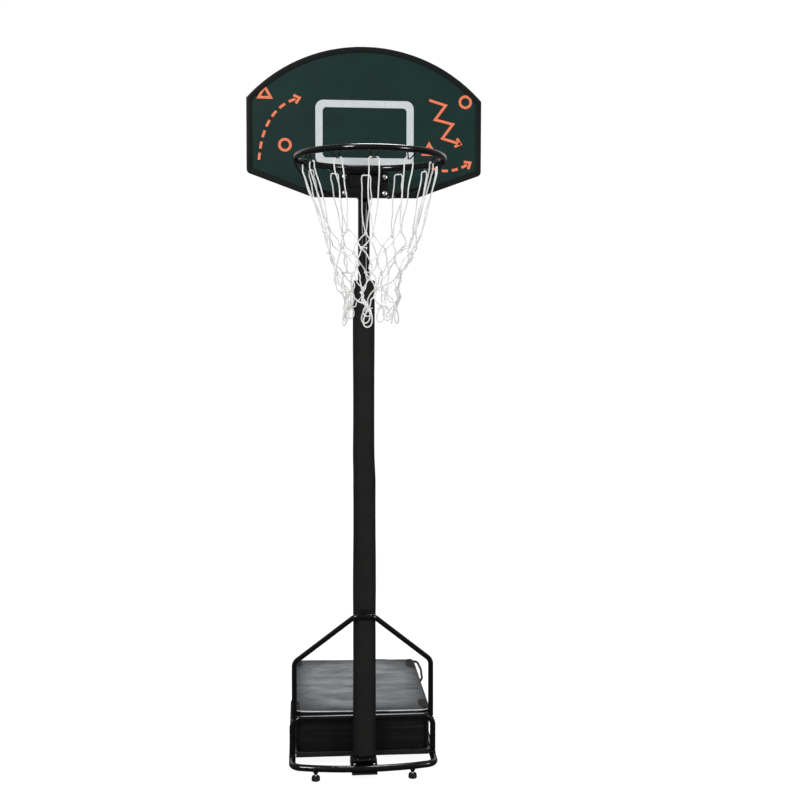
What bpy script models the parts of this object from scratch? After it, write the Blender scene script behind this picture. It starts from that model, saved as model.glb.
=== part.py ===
"""Children's basketball stand: a height-adjustable mast with a small backboard, a hoop and a net,
on a bent-tube floor frame that a flat sand bag holds down.

Metres, +Z up. The floor is z = 0, the player stands on the -Y side, and the origin is under the
middle of the whole stand. Lengths named in the pole's own frame are measured from the pole's axis.
"""
import math

import bmesh
import bpy
from mathutils import Matrix, Vector

for old in list(bpy.data.objects):
    bpy.data.objects.remove(old, do_unlink=True)

# Driving dimensions
GAP = 0.0003                 # between neighbours that touch

BOARD_WIDTH = 0.710
BOARD_HEIGHT = 0.450
BOARD_ARC = 0.157            # how far the top edge bows up
BOARD_TAPER = 0.072          # height of the slanted lower corners
BOARD_FLAT = 0.314           # width of the straight bottom edge
BOARD_BOTTOM = 1.803         # height of the bottom edge
BOARD_THICK = 0.006
BOARD_FRONT = -0.046         # the panel's front face, from the pole's axis
RIM_WIDTH = 0.017
RIM_WALL = 0.002
RIM_LIP = 0.003
TARGET_SIZE = (0.297, 0.193)
TARGET_LINE = 0.0215
TARGET_CORNER = 0.024
TARGET_BOTTOM = 1.9005
TARGET_THICK = 0.0005

RING_RADIUS = 0.20725
RING_TUBE = 0.0090
RING_HEIGHT = 1.8827
RING_REACH = 0.314           # ring's centre in front of the pole's axis
HOOK_COUNT = 12
HOOK_DROP = 0.028
HOOK_RADIUS = 0.187
HOOK_HALF_WIDTH = 0.0145
HOOK_WIRE = 0.0019
BRACE_ROD = 0.0045

PLATE_SIZE = (0.1434, 0.0806)
PLATE_BOTTOM = 1.8024
PLATE_THICK = 0.003
PLATE_BOLT_X = 0.0609
PLATE_BOLT_Z = (1.8160, 1.8645)
LEDGE_HALF = 0.050

MAST_RADIUS = 0.0185
POLE_RADIUS = 0.0205
TUBE_WALL = 0.0015
MAST_BOTTOM = 1.050
MAST_TOP = 1.905
POLE_BOTTOM = 0.0578
POLE_TOP = 1.545
SLEEVE_BOTTOM = 0.0638
SLEEVE_TOP = 1.554
SLEEVE_BORE = 0.0243

FRAME_TUBE = 0.0105
HOOP_TUBE = 0.009
FRAME_WALL = 0.0012
FRAME_HALF = 0.2249          # half-width of the floor frame, tube centre
FRAME_HEIGHT = 0.038
BOW_FRONT = -0.061
BOW_SPAN = 0.163             # half-width of the bowed part
BOW_RISE = 0.016             # how far its ends lie behind its middle
FRAME_CORNER_Y = -0.030
FRAME_REAR = 0.655
HOOP_Y = 0.0445
HOOP_TOP = 0.167
HOOP_CORNER = 0.030
STAY_TUBE = 0.0083
STAY_HALF = 0.218
STAY_BEND_Y = 0.050
STAY_BEND_Z = 0.347
STAY_FRONT = -0.0372         # where it crosses the front of the sleeve
STAY_TOP = 0.5130
STAY_BOLT = 0.0030
SLEEVE_PINCH = 0.0283        # sleeve's radius where the stay presses it in
STAY_CROSSING = 0.030        # half-width of the level stretch there
STAY_FOOT = 0.159

SLAT_FRONT = 0.0545
BAG_FRONT = 0.060
BAG_REAR = 0.632
BAG_HALF = 0.2175
BAG_BOTTOM = 0.0522
BAG_EDGE_TOP = 0.178
BAG_CROWN = 0.012

SHOE_HALF = 0.040
SHOE_TOP = 0.0575
SADDLE_TOP = 0.0270
FOOT_X = 0.1516
FOOT_PAD = (0.0135, 0.0155)  # radius, height
REAR_FOOT = 0.015            # radius at the floor
REAR_FOOT_X = 0.120
KNOB_HEIGHT = 1.490
SHOE_BOLTS = (("left", -0.0195), ("right", 0.0185))
SHOE_BOLT_Y = -0.031
BOW_STUDS = (("left", -0.0311, 0.0100), ("right", 0.0311, 0.0190))     # side, x, tip's height
BOW_STUD_Y = -0.0452
STUD_SHANK = 0.0025
MAST_BOLTS = (("lower", 1.8240), ("upper", 1.8620))
CROSS_HOLE = 0.0033
BUTT_GAP = 0.0008            # between the floor tube's two ends, in the middle of the bow

RING_FRONT = -RING_REACH - RING_RADIUS - RING_TUBE
FRAME_BACK = FRAME_REAR + REAR_FOOT
POLE_Y = -(RING_FRONT + FRAME_BACK) / 2      # puts the origin under the middle of the stand


# Materials

def material(name, colour, roughness, metallic=0.0):
    """A Principled material with a plain colour, given in linear RGB."""
    made = bpy.data.materials.new(name)
    made.use_nodes = True
    shader = made.node_tree.nodes["Principled BSDF"]
    shader.inputs["Base Color"].default_value = (*colour, 1.0)
    shader.inputs["Roughness"].default_value = roughness
    shader.inputs["Metallic"].default_value = metallic
    made.diffuse_color = (*colour, 1.0)
    return made


BLACK_ENAMEL = material("black_enamel", (0.008, 0.008, 0.009), 0.25)
GREEN_BOARD = material("green_board", (0.012, 0.032, 0.028), 0.45)
BLACK_MOULDING = material("black_moulding", (0.010, 0.012, 0.011), 0.45)
WHITE_FILM = material("white_film", (0.58, 0.62, 0.63), 0.40)
ZINC = material("zinc_plate", (0.62, 0.63, 0.65), 0.30, 1.0)
BLACK_PLASTIC = material("black_plastic", (0.014, 0.014, 0.015), 0.50)
BLACK_RUBBER = material("black_rubber", (0.012, 0.012, 0.012), 0.80)
SLEEVE_CLOTH = material("sleeve_cloth", (0.013, 0.013, 0.012), 0.70)
BAG_VINYL = material("bag_vinyl", (0.18, 0.19, 0.20), 0.38)
NET_CORD = material("net_cord", (0.72, 0.72, 0.70), 0.75)


def bow_y(x):
    """The bow's centre line: a parabola from its middle to its ends."""
    return BOW_FRONT + BOW_RISE * (x / BOW_SPAN) ** 2


# Parents: each moving group hangs from an empty on its joint's axis

def empty(name, location, parent=None):
    made = bpy.data.objects.new(name, None)
    made.location = location
    made.parent = parent
    bpy.context.scene.collection.objects.link(made)
    return made


BASE = empty("base_axis", (0.0, POLE_Y, 0.0))
MAST = empty("mast_axis", (0.0, POLE_Y, 0.0))
KNOB = empty("knob_axis", (0.0, 0.0, KNOB_HEIGHT), BASE)
FEET = {side: empty(f"foot_{side}_axis", (sign * FOOT_X, bow_y(FOOT_X), 0.0), BASE)
        for side, sign in (("left", -1), ("right", 1))}


# Building blocks

def add(name, shape, finish, parent, location=(0.0, 0.0, 0.0), sharp=35.0):
    """Link one solid, with its faces out and round sides shaded smooth."""
    mesh = bpy.data.meshes.new(name)
    bmesh.ops.recalc_face_normals(shape, faces=shape.faces)
    shape.to_mesh(mesh)
    shape.free()
    mesh.shade_smooth()
    mesh.set_sharp_from_angle(angle=math.radians(sharp))
    mesh.materials.append(finish)
    made = bpy.data.objects.new(name, mesh)
    made.location = location
    made.parent = parent
    bpy.context.scene.collection.objects.link(made)
    return made


def boolean(target, cutter, operation="DIFFERENCE"):
    """Cut or join with a hidden object, exactly."""
    cutter.hide_render = True
    cutter.display_type = "WIRE"
    made = target.modifiers.new(cutter.name, "BOOLEAN")
    made.operation = operation
    made.object = cutter
    made.solver = "EXACT"
    return made


def loft(rings, closed=False):
    """Skin equal rings of points; closed joins the last ring to the first."""
    shape = bmesh.new()
    rows = [[shape.verts.new(point) for point in ring] for ring in rings]
    count = len(rows[0])
    pairs = list(zip(rows, rows[1:])) + ([(rows[-1], rows[0])] if closed else [])
    for near, far in pairs:
        for i in range(count):
            j = (i + 1) % count
            shape.faces.new((near[i], near[j], far[j], far[i]))
    if not closed:
        shape.faces.new(rows[0])
        shape.faces.new(rows[-1])
    return shape


def frames(path):
    """A tangent and two side vectors at each point of a path, turned as little as possible."""
    points = [Vector(point) for point in path]
    tangents = []
    for i in range(len(points)):
        before = points[max(i - 1, 0)]
        after = points[min(i + 1, len(points) - 1)]
        tangents.append((after - before).normalized())
    side = tangents[0].orthogonal().normalized()
    result = []
    for point, tangent in zip(points, tangents):
        side = (side - tangent * side.dot(tangent)).normalized()
        result.append((point, side, tangent.cross(side)))
    return result


def circle_ring(point, side, up, radius, sides):
    steps = (2 * math.pi * i / sides for i in range(sides))
    return [point + (side * math.cos(a) + up * math.sin(a)) * radius for a in steps]


def rod(path, radius, sides=12):
    """A solid round rod along a path."""
    return loft([circle_ring(*place, radius, sides) for place in frames(path)])


def tube(path, radius, wall, sides=14):
    """A hollow round tube along a path, open at both ends; its bore has half as many sides."""
    shape = bmesh.new()
    bore_sides = sides // 2
    skins = []
    for skin_radius, count in ((radius, sides), (radius - wall, bore_sides)):
        rows = [[shape.verts.new(v) for v in circle_ring(*place, skin_radius, count)] for place in frames(path)]
        for near, far in zip(rows, rows[1:]):
            for i in range(count):
                shape.faces.new((near[i], near[(i + 1) % count], far[(i + 1) % count], far[i]))
        skins.append(rows)
    for end in (0, -1):
        outer, bore = (rows[end] for rows in skins)
        for i in range(bore_sides):
            j = (i + 1) % bore_sides
            shape.faces.new((outer[2 * i], outer[2 * i + 1], bore[i]))
            shape.faces.new((outer[2 * i + 1], outer[(2 * i + 2) % sides], bore[j], bore[i]))
    return shape


def rounded_path(corners, radii, steps=6):
    """A path through the corners, with an arc of the given radius at each inner one."""
    points = [Vector(corner) for corner in corners]
    result = [points[0]]
    for before, corner, after, radius in zip(points, points[1:], points[2:], radii):
        back = (before - corner).normalized()
        ahead = (after - corner).normalized()
        half = back.angle(ahead) / 2
        reach = radius / math.tan(half)
        centre = corner + (back + ahead).normalized() * (radius / math.sin(half))
        start = corner + back * reach - centre
        end = corner + ahead * reach - centre
        turn = start.angle(end)
        for i in range(steps + 1):
            t = i / steps
            spoke = (start * math.sin((1 - t) * turn) + end * math.sin(t * turn)) / math.sin(turn)
            result.append(centre + spoke)
    result.append(points[-1])
    return result


def turn_to(shape, axis):
    """Lay a shape that was made along +Z along +X or +Y."""
    if axis == "Y":
        bmesh.ops.rotate(shape, verts=shape.verts, matrix=Matrix.Rotation(-math.pi / 2, 3, "X"))
    if axis == "X":
        bmesh.ops.rotate(shape, verts=shape.verts, matrix=Matrix.Rotation(math.pi / 2, 3, "Y"))
    return shape


def turned(profile, segments=24, axis="Z"):
    """A closed profile of (radius, height) points turned round Z, or round Y for axis Y."""
    shape = bmesh.new()
    rows = []
    for radius, height in profile:
        if radius < 1e-6:
            rows.append([shape.verts.new((0.0, 0.0, height))])
            continue
        steps = (2 * math.pi * i / segments for i in range(segments))
        rows.append([shape.verts.new((radius * math.cos(a), radius * math.sin(a), height)) for a in steps])
    for near, far in zip(rows, rows[1:] + rows[:1]):
        if len(near) == 1 and len(far) == 1:
            continue
        for i in range(segments):
            j = (i + 1) % segments
            if len(near) == 1:
                shape.faces.new((near[0], far[j], far[i]))
            elif len(far) == 1:
                shape.faces.new((near[i], near[j], far[0]))
            else:
                shape.faces.new((near[i], near[j], far[j], far[i]))
    return turn_to(shape, axis)


def block(low, high):
    """A plain box between two corners."""
    shape = bmesh.new()
    bmesh.ops.create_cube(shape, size=1.0)
    middle = (Vector(low) + Vector(high)) / 2
    size = Vector(high) - Vector(low)
    for vertex in shape.verts:
        vertex.co = Vector(a * b for a, b in zip(vertex.co, size)) + middle
    return shape


def cylinder(radius, low, high, axis, centre, segments=16):
    """A round cutter between two places on an axis."""
    shape = turned([(0.0, low), (radius, low), (radius, high), (0.0, high)], segments, axis)
    bmesh.ops.translate(shape, verts=shape.verts, vec=centre)
    return shape


def joined(shapes):
    """Several separate shapes in one mesh, for a cutter."""
    whole = bmesh.new()
    for shape in shapes:
        part = bpy.data.meshes.new("part")
        shape.to_mesh(part)
        shape.free()
        whole.from_mesh(part)
        bpy.data.meshes.remove(part)
    return whole


def carriage_bolt(head, shank, length, segments=14):
    """Domed head on the -Y side, shank along +Y from the head's seat at y = 0."""
    dome = 0.42 * head
    return turned([(0.0, -dome), (0.55 * head, -0.88 * dome), (0.88 * head, -0.52 * dome), (head, 0.0),
                   (shank, 0.0), (shank, length), (0.0, length)], segments, "Y")


def hex_nut(across, bore, height, axis="Y"):
    """A six-sided nut with a round bore, that starts at 0 on its axis."""
    corner = across / math.sqrt(3)
    rings = []
    for radius, place in ((corner, 0.0), (corner, height), (bore, height), (bore, 0.0)):
        ring = []
        for i in range(12):
            angle = math.pi / 6 * i
            reach = radius * math.cos(math.pi / 6) if radius == corner and i % 2 else radius
            ring.append((reach * math.cos(angle), reach * math.sin(angle), place))
        rings.append(ring)
    return turn_to(loft(rings, closed=True), axis)


# Backboard: panel, rim, white target line

def board_outline():
    """The board's edge, anticlockwise seen from the player, as (x, z): straight foot, slanted
    corners, upright sides and a top edge that is one arc."""
    half = BOARD_WIDTH / 2
    shoulder = BOARD_BOTTOM + BOARD_HEIGHT - BOARD_ARC
    radius = (half ** 2 + BOARD_ARC ** 2) / (2 * BOARD_ARC)
    centre = BOARD_BOTTOM + BOARD_HEIGHT - radius
    sweep = math.asin(half / radius)
    steps = 24
    side = rounded_path([(0.0, 0.0, BOARD_BOTTOM), (BOARD_FLAT / 2, 0.0, BOARD_BOTTOM),
                         (half, 0.0, BOARD_BOTTOM + BOARD_TAPER), (half, 0.0, shoulder)], [0.030, 0.014], 3)[1:]
    angles = [sweep * (1 - 2 * i / steps) for i in range(1, steps)]
    arc = [(radius * math.sin(a), centre + radius * math.cos(a)) for a in angles]
    return [(p.x, p.z) for p in side] + arc + [(-p.x, p.z) for p in reversed(side)]


def inset(loop, distance):
    """A convex anticlockwise loop moved inwards by a distance, each corner on its mitre."""
    result = []
    for i, here in enumerate(loop):
        first = (Vector(here) - Vector(loop[i - 1])).normalized()
        second = (Vector(loop[(i + 1) % len(loop)]) - Vector(here)).normalized()
        mitre = Vector((-first.y - second.y, first.x + second.x)).normalized()
        result.append(Vector(here) + mitre * (distance / mitre.dot(Vector((-first.y, first.x)))))
    return result


def banded(loop, section):
    """A closed (inset, y) section carried round a convex loop."""
    rings = []
    for distance, y in section:
        rings.append([(p[0], y, p[1]) for p in inset(loop, distance)])
    return loft(rings, closed=True)


def plate(loop, front, back, distance=0.0):
    """A flat sheet with the outline of a loop drawn in by a distance, between two y faces."""
    return loft([[(p[0], y, p[1]) for p in inset(loop, distance)] for y in (front, back)])


def rounded_rectangle(width, height, bottom, radius, steps=5):
    """Anticlockwise rounded rectangle, centred on x = 0, as (x, z)."""
    loop = []
    for i, (cx, cz) in enumerate(((1, 0), (1, 1), (-1, 1), (-1, 0))):
        centre = (cx * (width / 2 - radius), bottom + radius + cz * (height - 2 * radius))
        for k in range(steps + 1):
            angle = math.pi / 2 * (i - 1 + k / steps)
            loop.append((centre[0] + radius * math.cos(angle), centre[1] + radius * math.sin(angle)))
    return loop


OUTLINE = board_outline()
BOARD_BACK = BOARD_FRONT + BOARD_THICK
RIM_FRONT = BOARD_FRONT - RIM_LIP
RIM_BACK = BOARD_BACK + RIM_LIP
PLATE_BACK = BOARD_FRONT - GAP
PLATE_FRONT = PLATE_BACK - PLATE_THICK
WEB_FRONT = BOARD_BACK + GAP
WEB_BACK = WEB_FRONT + PLATE_THICK
BOLT_PLACES = [(f"{row}_{side}", sign * PLATE_BOLT_X, z)
               for row, z in zip(("lower", "upper"), PLATE_BOLT_Z)
               for side, sign in (("left", -1), ("right", 1))]


def bolt_holes():
    return joined([cylinder(0.0043, -0.080, 0.0, "Y", (x, 0.0, z), 12) for _, x, z in BOLT_PLACES])


def cross_holes():
    return joined([cylinder(CROSS_HOLE, -0.040, 0.040, "X", (0.0, 0.0, z), 12) for _, z in MAST_BOLTS])


backboard = add("backboard", plate(OUTLINE, BOARD_FRONT, BOARD_BACK, RIM_WALL + GAP), GREEN_BOARD, MAST)
boolean(backboard, add("board_hole_cutter", bolt_holes(), ZINC, MAST))

rim_section = [(0.0, RIM_FRONT + 0.002), (0.0, RIM_BACK - 0.002), (0.002, RIM_BACK), (RIM_WIDTH, RIM_BACK),
               (RIM_WIDTH, BOARD_BACK + GAP), (RIM_WALL, BOARD_BACK + GAP), (RIM_WALL, BOARD_FRONT - GAP),
               (RIM_WIDTH, BOARD_FRONT - GAP), (RIM_WIDTH, RIM_FRONT), (0.002, RIM_FRONT)]
board_rim = add("board_rim", banded(OUTLINE, rim_section), BLACK_MOULDING, MAST)
notch_half = PLATE_SIZE[0] / 2 + GAP
notch_low = PLATE_BOTTOM - 0.003
notch_high = BOARD_BOTTOM + RIM_WIDTH + 0.002
notches = joined([block((-notch_half, RIM_FRONT - 0.005, notch_low), (notch_half, BOARD_FRONT, notch_high)),
                  block((-notch_half, BOARD_BACK, notch_low), (notch_half, RIM_BACK + 0.005, notch_high))])
boolean(board_rim, add("rim_notch_cutter", notches, BLACK_MOULDING, MAST))

target_loop = rounded_rectangle(*TARGET_SIZE, TARGET_BOTTOM, TARGET_CORNER)
film_back = BOARD_FRONT - GAP
film_front = film_back - TARGET_THICK
add("target_frame", banded(target_loop, [(0.0, film_front), (0.0, film_back), (TARGET_LINE, film_back),
                                         (TARGET_LINE, film_front)]), WHITE_FILM, MAST)


# Hoop: front plate with its ledge, ring with net hooks, two brace rods

ledge_top = RING_HEIGHT - RING_TUBE - GAP
ledge_front = -RING_REACH + RING_RADIUS + RING_TUBE - 0.004
rim_bracket = add("rim_bracket", plate(rounded_rectangle(*PLATE_SIZE, PLATE_BOTTOM, 0.008, 3),
                                       PLATE_FRONT, PLATE_BACK), BLACK_ENAMEL, MAST)
ledge = block((-LEDGE_HALF, ledge_front, ledge_top - PLATE_THICK), (LEDGE_HALF, PLATE_FRONT + 0.001, ledge_top))
boolean(rim_bracket, add("ledge_joiner", ledge, BLACK_ENAMEL, MAST), "UNION")
gusset_corners = [(ledge_front + 0.012, ledge_top - 0.001), (PLATE_FRONT + 0.001, ledge_top - 0.001),
                  (PLATE_FRONT + 0.001, PLATE_BOTTOM + 0.028)]     # (y, z)
gusset_out = LEDGE_HALF - 0.001
gusset_faces = [(side * gusset_out, side * (gusset_out - PLATE_THICK)) for side in (-1, 1)]
gussets = joined([loft([[(x, y, z) for y, z in gusset_corners] for x in pair]) for pair in gusset_faces])
boolean(rim_bracket, add("gusset_joiner", gussets, BLACK_ENAMEL, MAST), "UNION")
boolean(rim_bracket, add("bracket_hole_cutter", bolt_holes(), ZINC, MAST))

RING_CENTRE = Vector((0.0, -RING_REACH, RING_HEIGHT))


def on_ring(angle, radius, height):
    """A point round the hoop; angle 0 is its front."""
    return RING_CENTRE + Vector((radius * math.sin(angle), -radius * math.cos(angle), height))


def ring_tube():
    sides = 10
    steps = 60
    rings = []
    for i in range(steps):
        angle = 2 * math.pi * i / steps
        outwards = Vector((math.sin(angle), -math.cos(angle), 0.0))
        centre = on_ring(angle, RING_RADIUS, 0.0)
        rings.append(circle_ring(centre, outwards, Vector((0.0, 0.0, 1.0)), RING_TUBE, sides))
    return loft(rings, closed=True)


def net_hooks():
    """Wire hooks under the ring, each bent into a rounded V that leans inwards."""
    spread = HOOK_HALF_WIDTH / RING_RADIUS
    wires = []
    for k in range(HOOK_COUNT):
        angle = 2 * math.pi * k / HOOK_COUNT
        root_radius = RING_RADIUS - 0.003
        root = -RING_TUBE + 0.0025
        low = on_ring(angle, HOOK_RADIUS, -HOOK_DROP)
        path = rounded_path([on_ring(angle - spread, root_radius, root), low,
                             on_ring(angle + spread, root_radius, root)], [0.005], 3)
        wires.append(rod(path, HOOK_WIRE, 6))
    return joined(wires)


hoop_ring = add("hoop_ring", ring_tube(), BLACK_ENAMEL, MAST)
boolean(hoop_ring, add("hook_joiner", net_hooks(), BLACK_ENAMEL, MAST), "UNION")

brace_y = PLATE_FRONT - GAP - BRACE_ROD
brace_top = RING_HEIGHT - RING_TUBE - BRACE_ROD - GAP
BRACE_CORNERS = [(0.066, brace_y, PLATE_BOTTOM + 0.001), (0.098, brace_y - 0.006, PLATE_BOTTOM + 0.004),
                 (0.170, brace_y - 0.095, PLATE_BOTTOM + 0.027), (RING_RADIUS, -RING_REACH + 0.050, brace_top),
                 (RING_RADIUS, -RING_REACH - 0.012, brace_top)]
for side, sign in (("left", -1), ("right", 1)):
    route = rounded_path([(sign * x, y, z) for x, y, z in BRACE_CORNERS], [0.030, 0.060, 0.050], 4)
    add(f"ring_brace_{side}", rod(route, BRACE_ROD, 10), BLACK_ENAMEL, MAST)


# Net: rows of kites between knots, each side of a kite one cord

NET_ROWS = [(-HOOK_DROP - 0.001, 0.1835), (-0.195, 0.146), (-0.250, 0.119), (-0.305, 0.098), (-0.357, 0.084),
            (-0.408, 0.076), (-0.470, 0.072)]     # (height from the ring, radius); hooks, knots, loop ends
NET_CORD_SIZE = 0.0038


def net_knot(row, step):
    """Knot number step of a row; odd rows sit half a hook round."""
    height, radius = NET_ROWS[row]
    angle = 2 * math.pi * (step + 0.5 * (row % 2)) / HOOK_COUNT
    return on_ring(angle, radius, height)


def net_sheet():
    """Kite faces from row to row, each hung between two knots."""
    shape = bmesh.new()
    knots = [[shape.verts.new(net_knot(row, k)) for k in range(HOOK_COUNT)] for row in range(len(NET_ROWS))]
    for row in range(len(NET_ROWS) - 2):
        for k in range(HOOK_COUNT):
            before = k if row % 2 else k - 1
            after = (before + 1) % HOOK_COUNT
            shape.faces.new((knots[row][k], knots[row + 1][before], knots[row + 2][k], knots[row + 1][after]))
    return shape


net = add("net", net_sheet(), NET_CORD, MAST, sharp=180.0)
cords = net.modifiers.new("cords", "WIREFRAME")
cords.thickness = NET_CORD_SIZE
cords.use_replace = True
cords.use_boundary = True
cords.use_even_offset = True


# Bolts that hold the plate, the board and the rear bracket together

for place, x, z in BOLT_PLACES:
    add(f"bracket_bolt_{place}", carriage_bolt(0.0082, 0.0039, 0.0235), ZINC, MAST, (x, PLATE_FRONT - GAP, z))
    add(f"bracket_nut_{place}", hex_nut(0.013, 0.0042, 0.0060), ZINC, MAST, (x, WEB_BACK + GAP, z))


# Mast: inner tube, its cap, and the channel that carries the board

def upright(radius, wall, low, high):
    return tube([(0.0, 0.0, low), (0.0, 0.0, high)], radius, wall, 28)


mast_tube = add("mast_tube", upright(MAST_RADIUS, TUBE_WALL, MAST_BOTTOM, MAST_TOP), BLACK_ENAMEL, MAST)
boolean(mast_tube, add("mast_hole_cutter", cross_holes(), ZINC, MAST))
mast_cap = turned([(0.0, 0.0), (0.0160, 0.0), (0.0165, 0.010), (MAST_RADIUS, 0.0103), (MAST_RADIUS, 0.0120),
                   (0.0155, 0.0150), (0.0, 0.0155)], 24)
add("mast_cap", mast_cap, BLACK_PLASTIC, MAST, (0.0, 0.0, MAST_TOP - 0.010))

flange_inner = MAST_RADIUS + GAP
flange_outer = flange_inner + PLATE_THICK
rear_bracket = add("rear_bracket", plate(rounded_rectangle(*PLATE_SIZE, PLATE_BOTTOM, 0.008, 3),
                                         WEB_FRONT, WEB_BACK), BLACK_ENAMEL, MAST)
flange_low = PLATE_BOTTOM + 0.001
flange_high = PLATE_BOTTOM + PLATE_SIZE[1] - 0.001
flanges = joined([block((x, WEB_BACK - 0.001, flange_low), (x + PLATE_THICK, 0.012, flange_high))
                  for x in (-flange_outer, flange_inner)])
boolean(rear_bracket, add("flange_joiner", flanges, BLACK_ENAMEL, MAST), "UNION")
boolean(rear_bracket, add("flange_hole_cutter", cross_holes(), ZINC, MAST))
boolean(rear_bracket, add("web_hole_cutter", bolt_holes(), ZINC, MAST))

for place, z in MAST_BOLTS:
    bolt = turned([(0.0, -0.0045), (0.0068, -0.0045), (0.0075, -0.0035), (0.0075, 0.0), (0.0030, 0.0),
                   (0.0030, 0.0515), (0.0, 0.0515)], 12, "X")
    add(f"mast_bolt_{place}", bolt, ZINC, MAST, (-flange_outer - GAP, 0.0, z))
    add(f"mast_nut_{place}", hex_nut(0.010, 0.0032, 0.0050, "X"), ZINC, MAST, (flange_outer + GAP, 0.0, z))


# Pole: outer tube, collar, padded sleeve, clamp screw

pole_tube = add("pole_tube", upright(POLE_RADIUS, TUBE_WALL, POLE_BOTTOM, POLE_TOP), BLACK_ENAMEL, BASE)
screw_hole = cylinder(0.0045, 0.005, 0.030, "Y", (0.0, 0.0, KNOB_HEIGHT), 12)
boolean(pole_tube, add("pole_hole_cutter", screw_hole, ZINC, BASE))
pole_collar = turned([(0.0237, -0.030), (0.0237, 0.004), (0.0227, 0.0055), (0.0188, 0.0055), (0.0188, GAP),
                      (0.0208, GAP), (0.0208, -0.030)], 24)
add("pole_collar", pole_collar, BLACK_PLASTIC, BASE, (0.0, 0.0, POLE_TOP))

sleeve_profile = [(0.0290, SLEEVE_BOTTOM), (0.0335, 0.070), (0.0345, 0.126), (0.0343, 0.316), (0.0338, 0.490),
                  (0.0298, STAY_TOP - 0.011), (SLEEVE_PINCH, STAY_TOP - 0.007), (SLEEVE_PINCH, STAY_TOP + 0.007),
                  (0.0298, STAY_TOP + 0.011), (0.0348, 0.537), (0.0350, 0.766), (0.0352, 0.940), (0.0336, 1.066),
                  (0.0334, 1.366), (0.0335, 1.536), (0.0330, 1.550), (0.0280, SLEEVE_TOP), (SLEEVE_BORE, SLEEVE_TOP),
                  (SLEEVE_BORE, SLEEVE_BOTTOM)]     # (radius, height)
pole_sleeve = add("pole_sleeve", turned(sleeve_profile, 24), SLEEVE_CLOTH, BASE)
sleeve_hole = cylinder(0.0112, 0.010, 0.050, "Y", (0.0, 0.0, KNOB_HEIGHT), 16)
boolean(pole_sleeve, add("sleeve_hole_cutter", sleeve_hole, ZINC, BASE))
bolt_way = [cylinder(STAY_BOLT + GAP, -0.060, 0.060, "Y", (0.0, 0.0, STAY_TOP), 12) for _ in range(2)]
boolean(pole_sleeve, add("sleeve_bolt_cutter", bolt_way[0], ZINC, BASE))
boolean(pole_tube, add("pole_bolt_cutter", bolt_way[1], ZINC, BASE))

boss = turned([(0.0090, 0.0175), (0.0090, 0.0330), (0.0080, 0.0340), (0.0043, 0.0340), (0.0043, 0.0175)],
              16, "Y")
clamp_boss = add("clamp_boss", boss, ZINC, BASE, (0.0, 0.0, KNOB_HEIGHT))
pole_skin = cylinder(POLE_RADIUS + GAP, -0.030, 0.030, "Z", (0.0, 0.0, KNOB_HEIGHT), 48)
boolean(clamp_boss, add("boss_saddle_cutter", pole_skin, ZINC, BASE))
pad_front = MAST_RADIUS + GAP
clamp_pad = turned([(0.0, pad_front), (0.0036, pad_front), (0.0036, 0.0204), (0.0, 0.0204)], 12, "Y")
add("clamp_pad", clamp_pad, ZINC, KNOB)
add("clamp_screw", turned([(0.0, 0.0207), (0.0034, 0.0207), (0.0040, 0.0218), (0.0040, 0.0460), (0.0, 0.0460)],
                          12, "Y"), ZINC, KNOB)


def knob_grip():
    """A six-lobed hand knob on the +Y side, with a blind bore for its screw."""
    steps = 36
    shape = bmesh.new()
    rows = []
    profile = ((0.0365, 0.62), (0.0385, 0.80), (0.0410, 1.0), (0.0500, 1.0), (0.0525, 0.93), (0.0540, 0.70))
    for y, scale in profile:
        ring = []
        for i in range(steps):
            angle = 2 * math.pi * i / steps
            radius = scale * (0.0165 + 0.0020 * math.cos(6 * angle))
            ring.append(shape.verts.new((radius * math.cos(angle), y, radius * math.sin(angle))))
        rows.append(ring)
    bore = []
    for y in (0.0365, 0.0463):
        steps_round = (2 * math.pi * i / steps for i in range(steps))
        bore.append([shape.verts.new((0.0043 * math.cos(a), y, 0.0043 * math.sin(a))) for a in steps_round])
    chain = [bore[1], bore[0]] + rows
    for near, far in zip(chain, chain[1:]):
        for i in range(steps):
            j = (i + 1) % steps
            shape.faces.new((near[i], near[j], far[j], far[i]))
    shape.faces.new(bore[1])
    shape.faces.new(rows[-1])
    return shape


add("clamp_knob", knob_grip(), BLACK_PLASTIC, KNOB)


# Floor frame, bag hoop and stay

def frame_path():
    """Round the floor frame from the middle of the bow, to the right, back and round to the left."""
    steps = 6
    bow = [Vector((BOW_SPAN * i / steps, bow_y(BOW_SPAN * i / steps), FRAME_HEIGHT)) for i in range(steps + 1)]
    bow[0].x = BUTT_GAP / 2
    corner = Vector((FRAME_HALF, FRAME_CORNER_Y, FRAME_HEIGHT))
    turn = rounded_path([bow[-1], corner, (FRAME_HALF, 0.040, FRAME_HEIGHT)], [0.036], 7)[1:-1]
    back = rounded_path([(FRAME_HALF, 0.040, FRAME_HEIGHT), (FRAME_HALF, FRAME_REAR, FRAME_HEIGHT),
                         (0.0, FRAME_REAR, FRAME_HEIGHT)], [0.060], 7)[1:-1]
    right = bow + turn + back
    left = [Vector((-p.x, p.y, p.z)) for p in reversed(right)]
    return right + left


add("floor_frame", tube(frame_path(), FRAME_TUBE, FRAME_WALL, 12), BLACK_ENAMEL, BASE)


def hoop_path(foot):
    return rounded_path([(-FRAME_HALF, HOOP_Y, foot), (-FRAME_HALF, HOOP_Y, HOOP_TOP),
                         (FRAME_HALF, HOOP_Y, HOOP_TOP), (FRAME_HALF, HOOP_Y, foot)], [HOOP_CORNER] * 2, 7)


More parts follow.
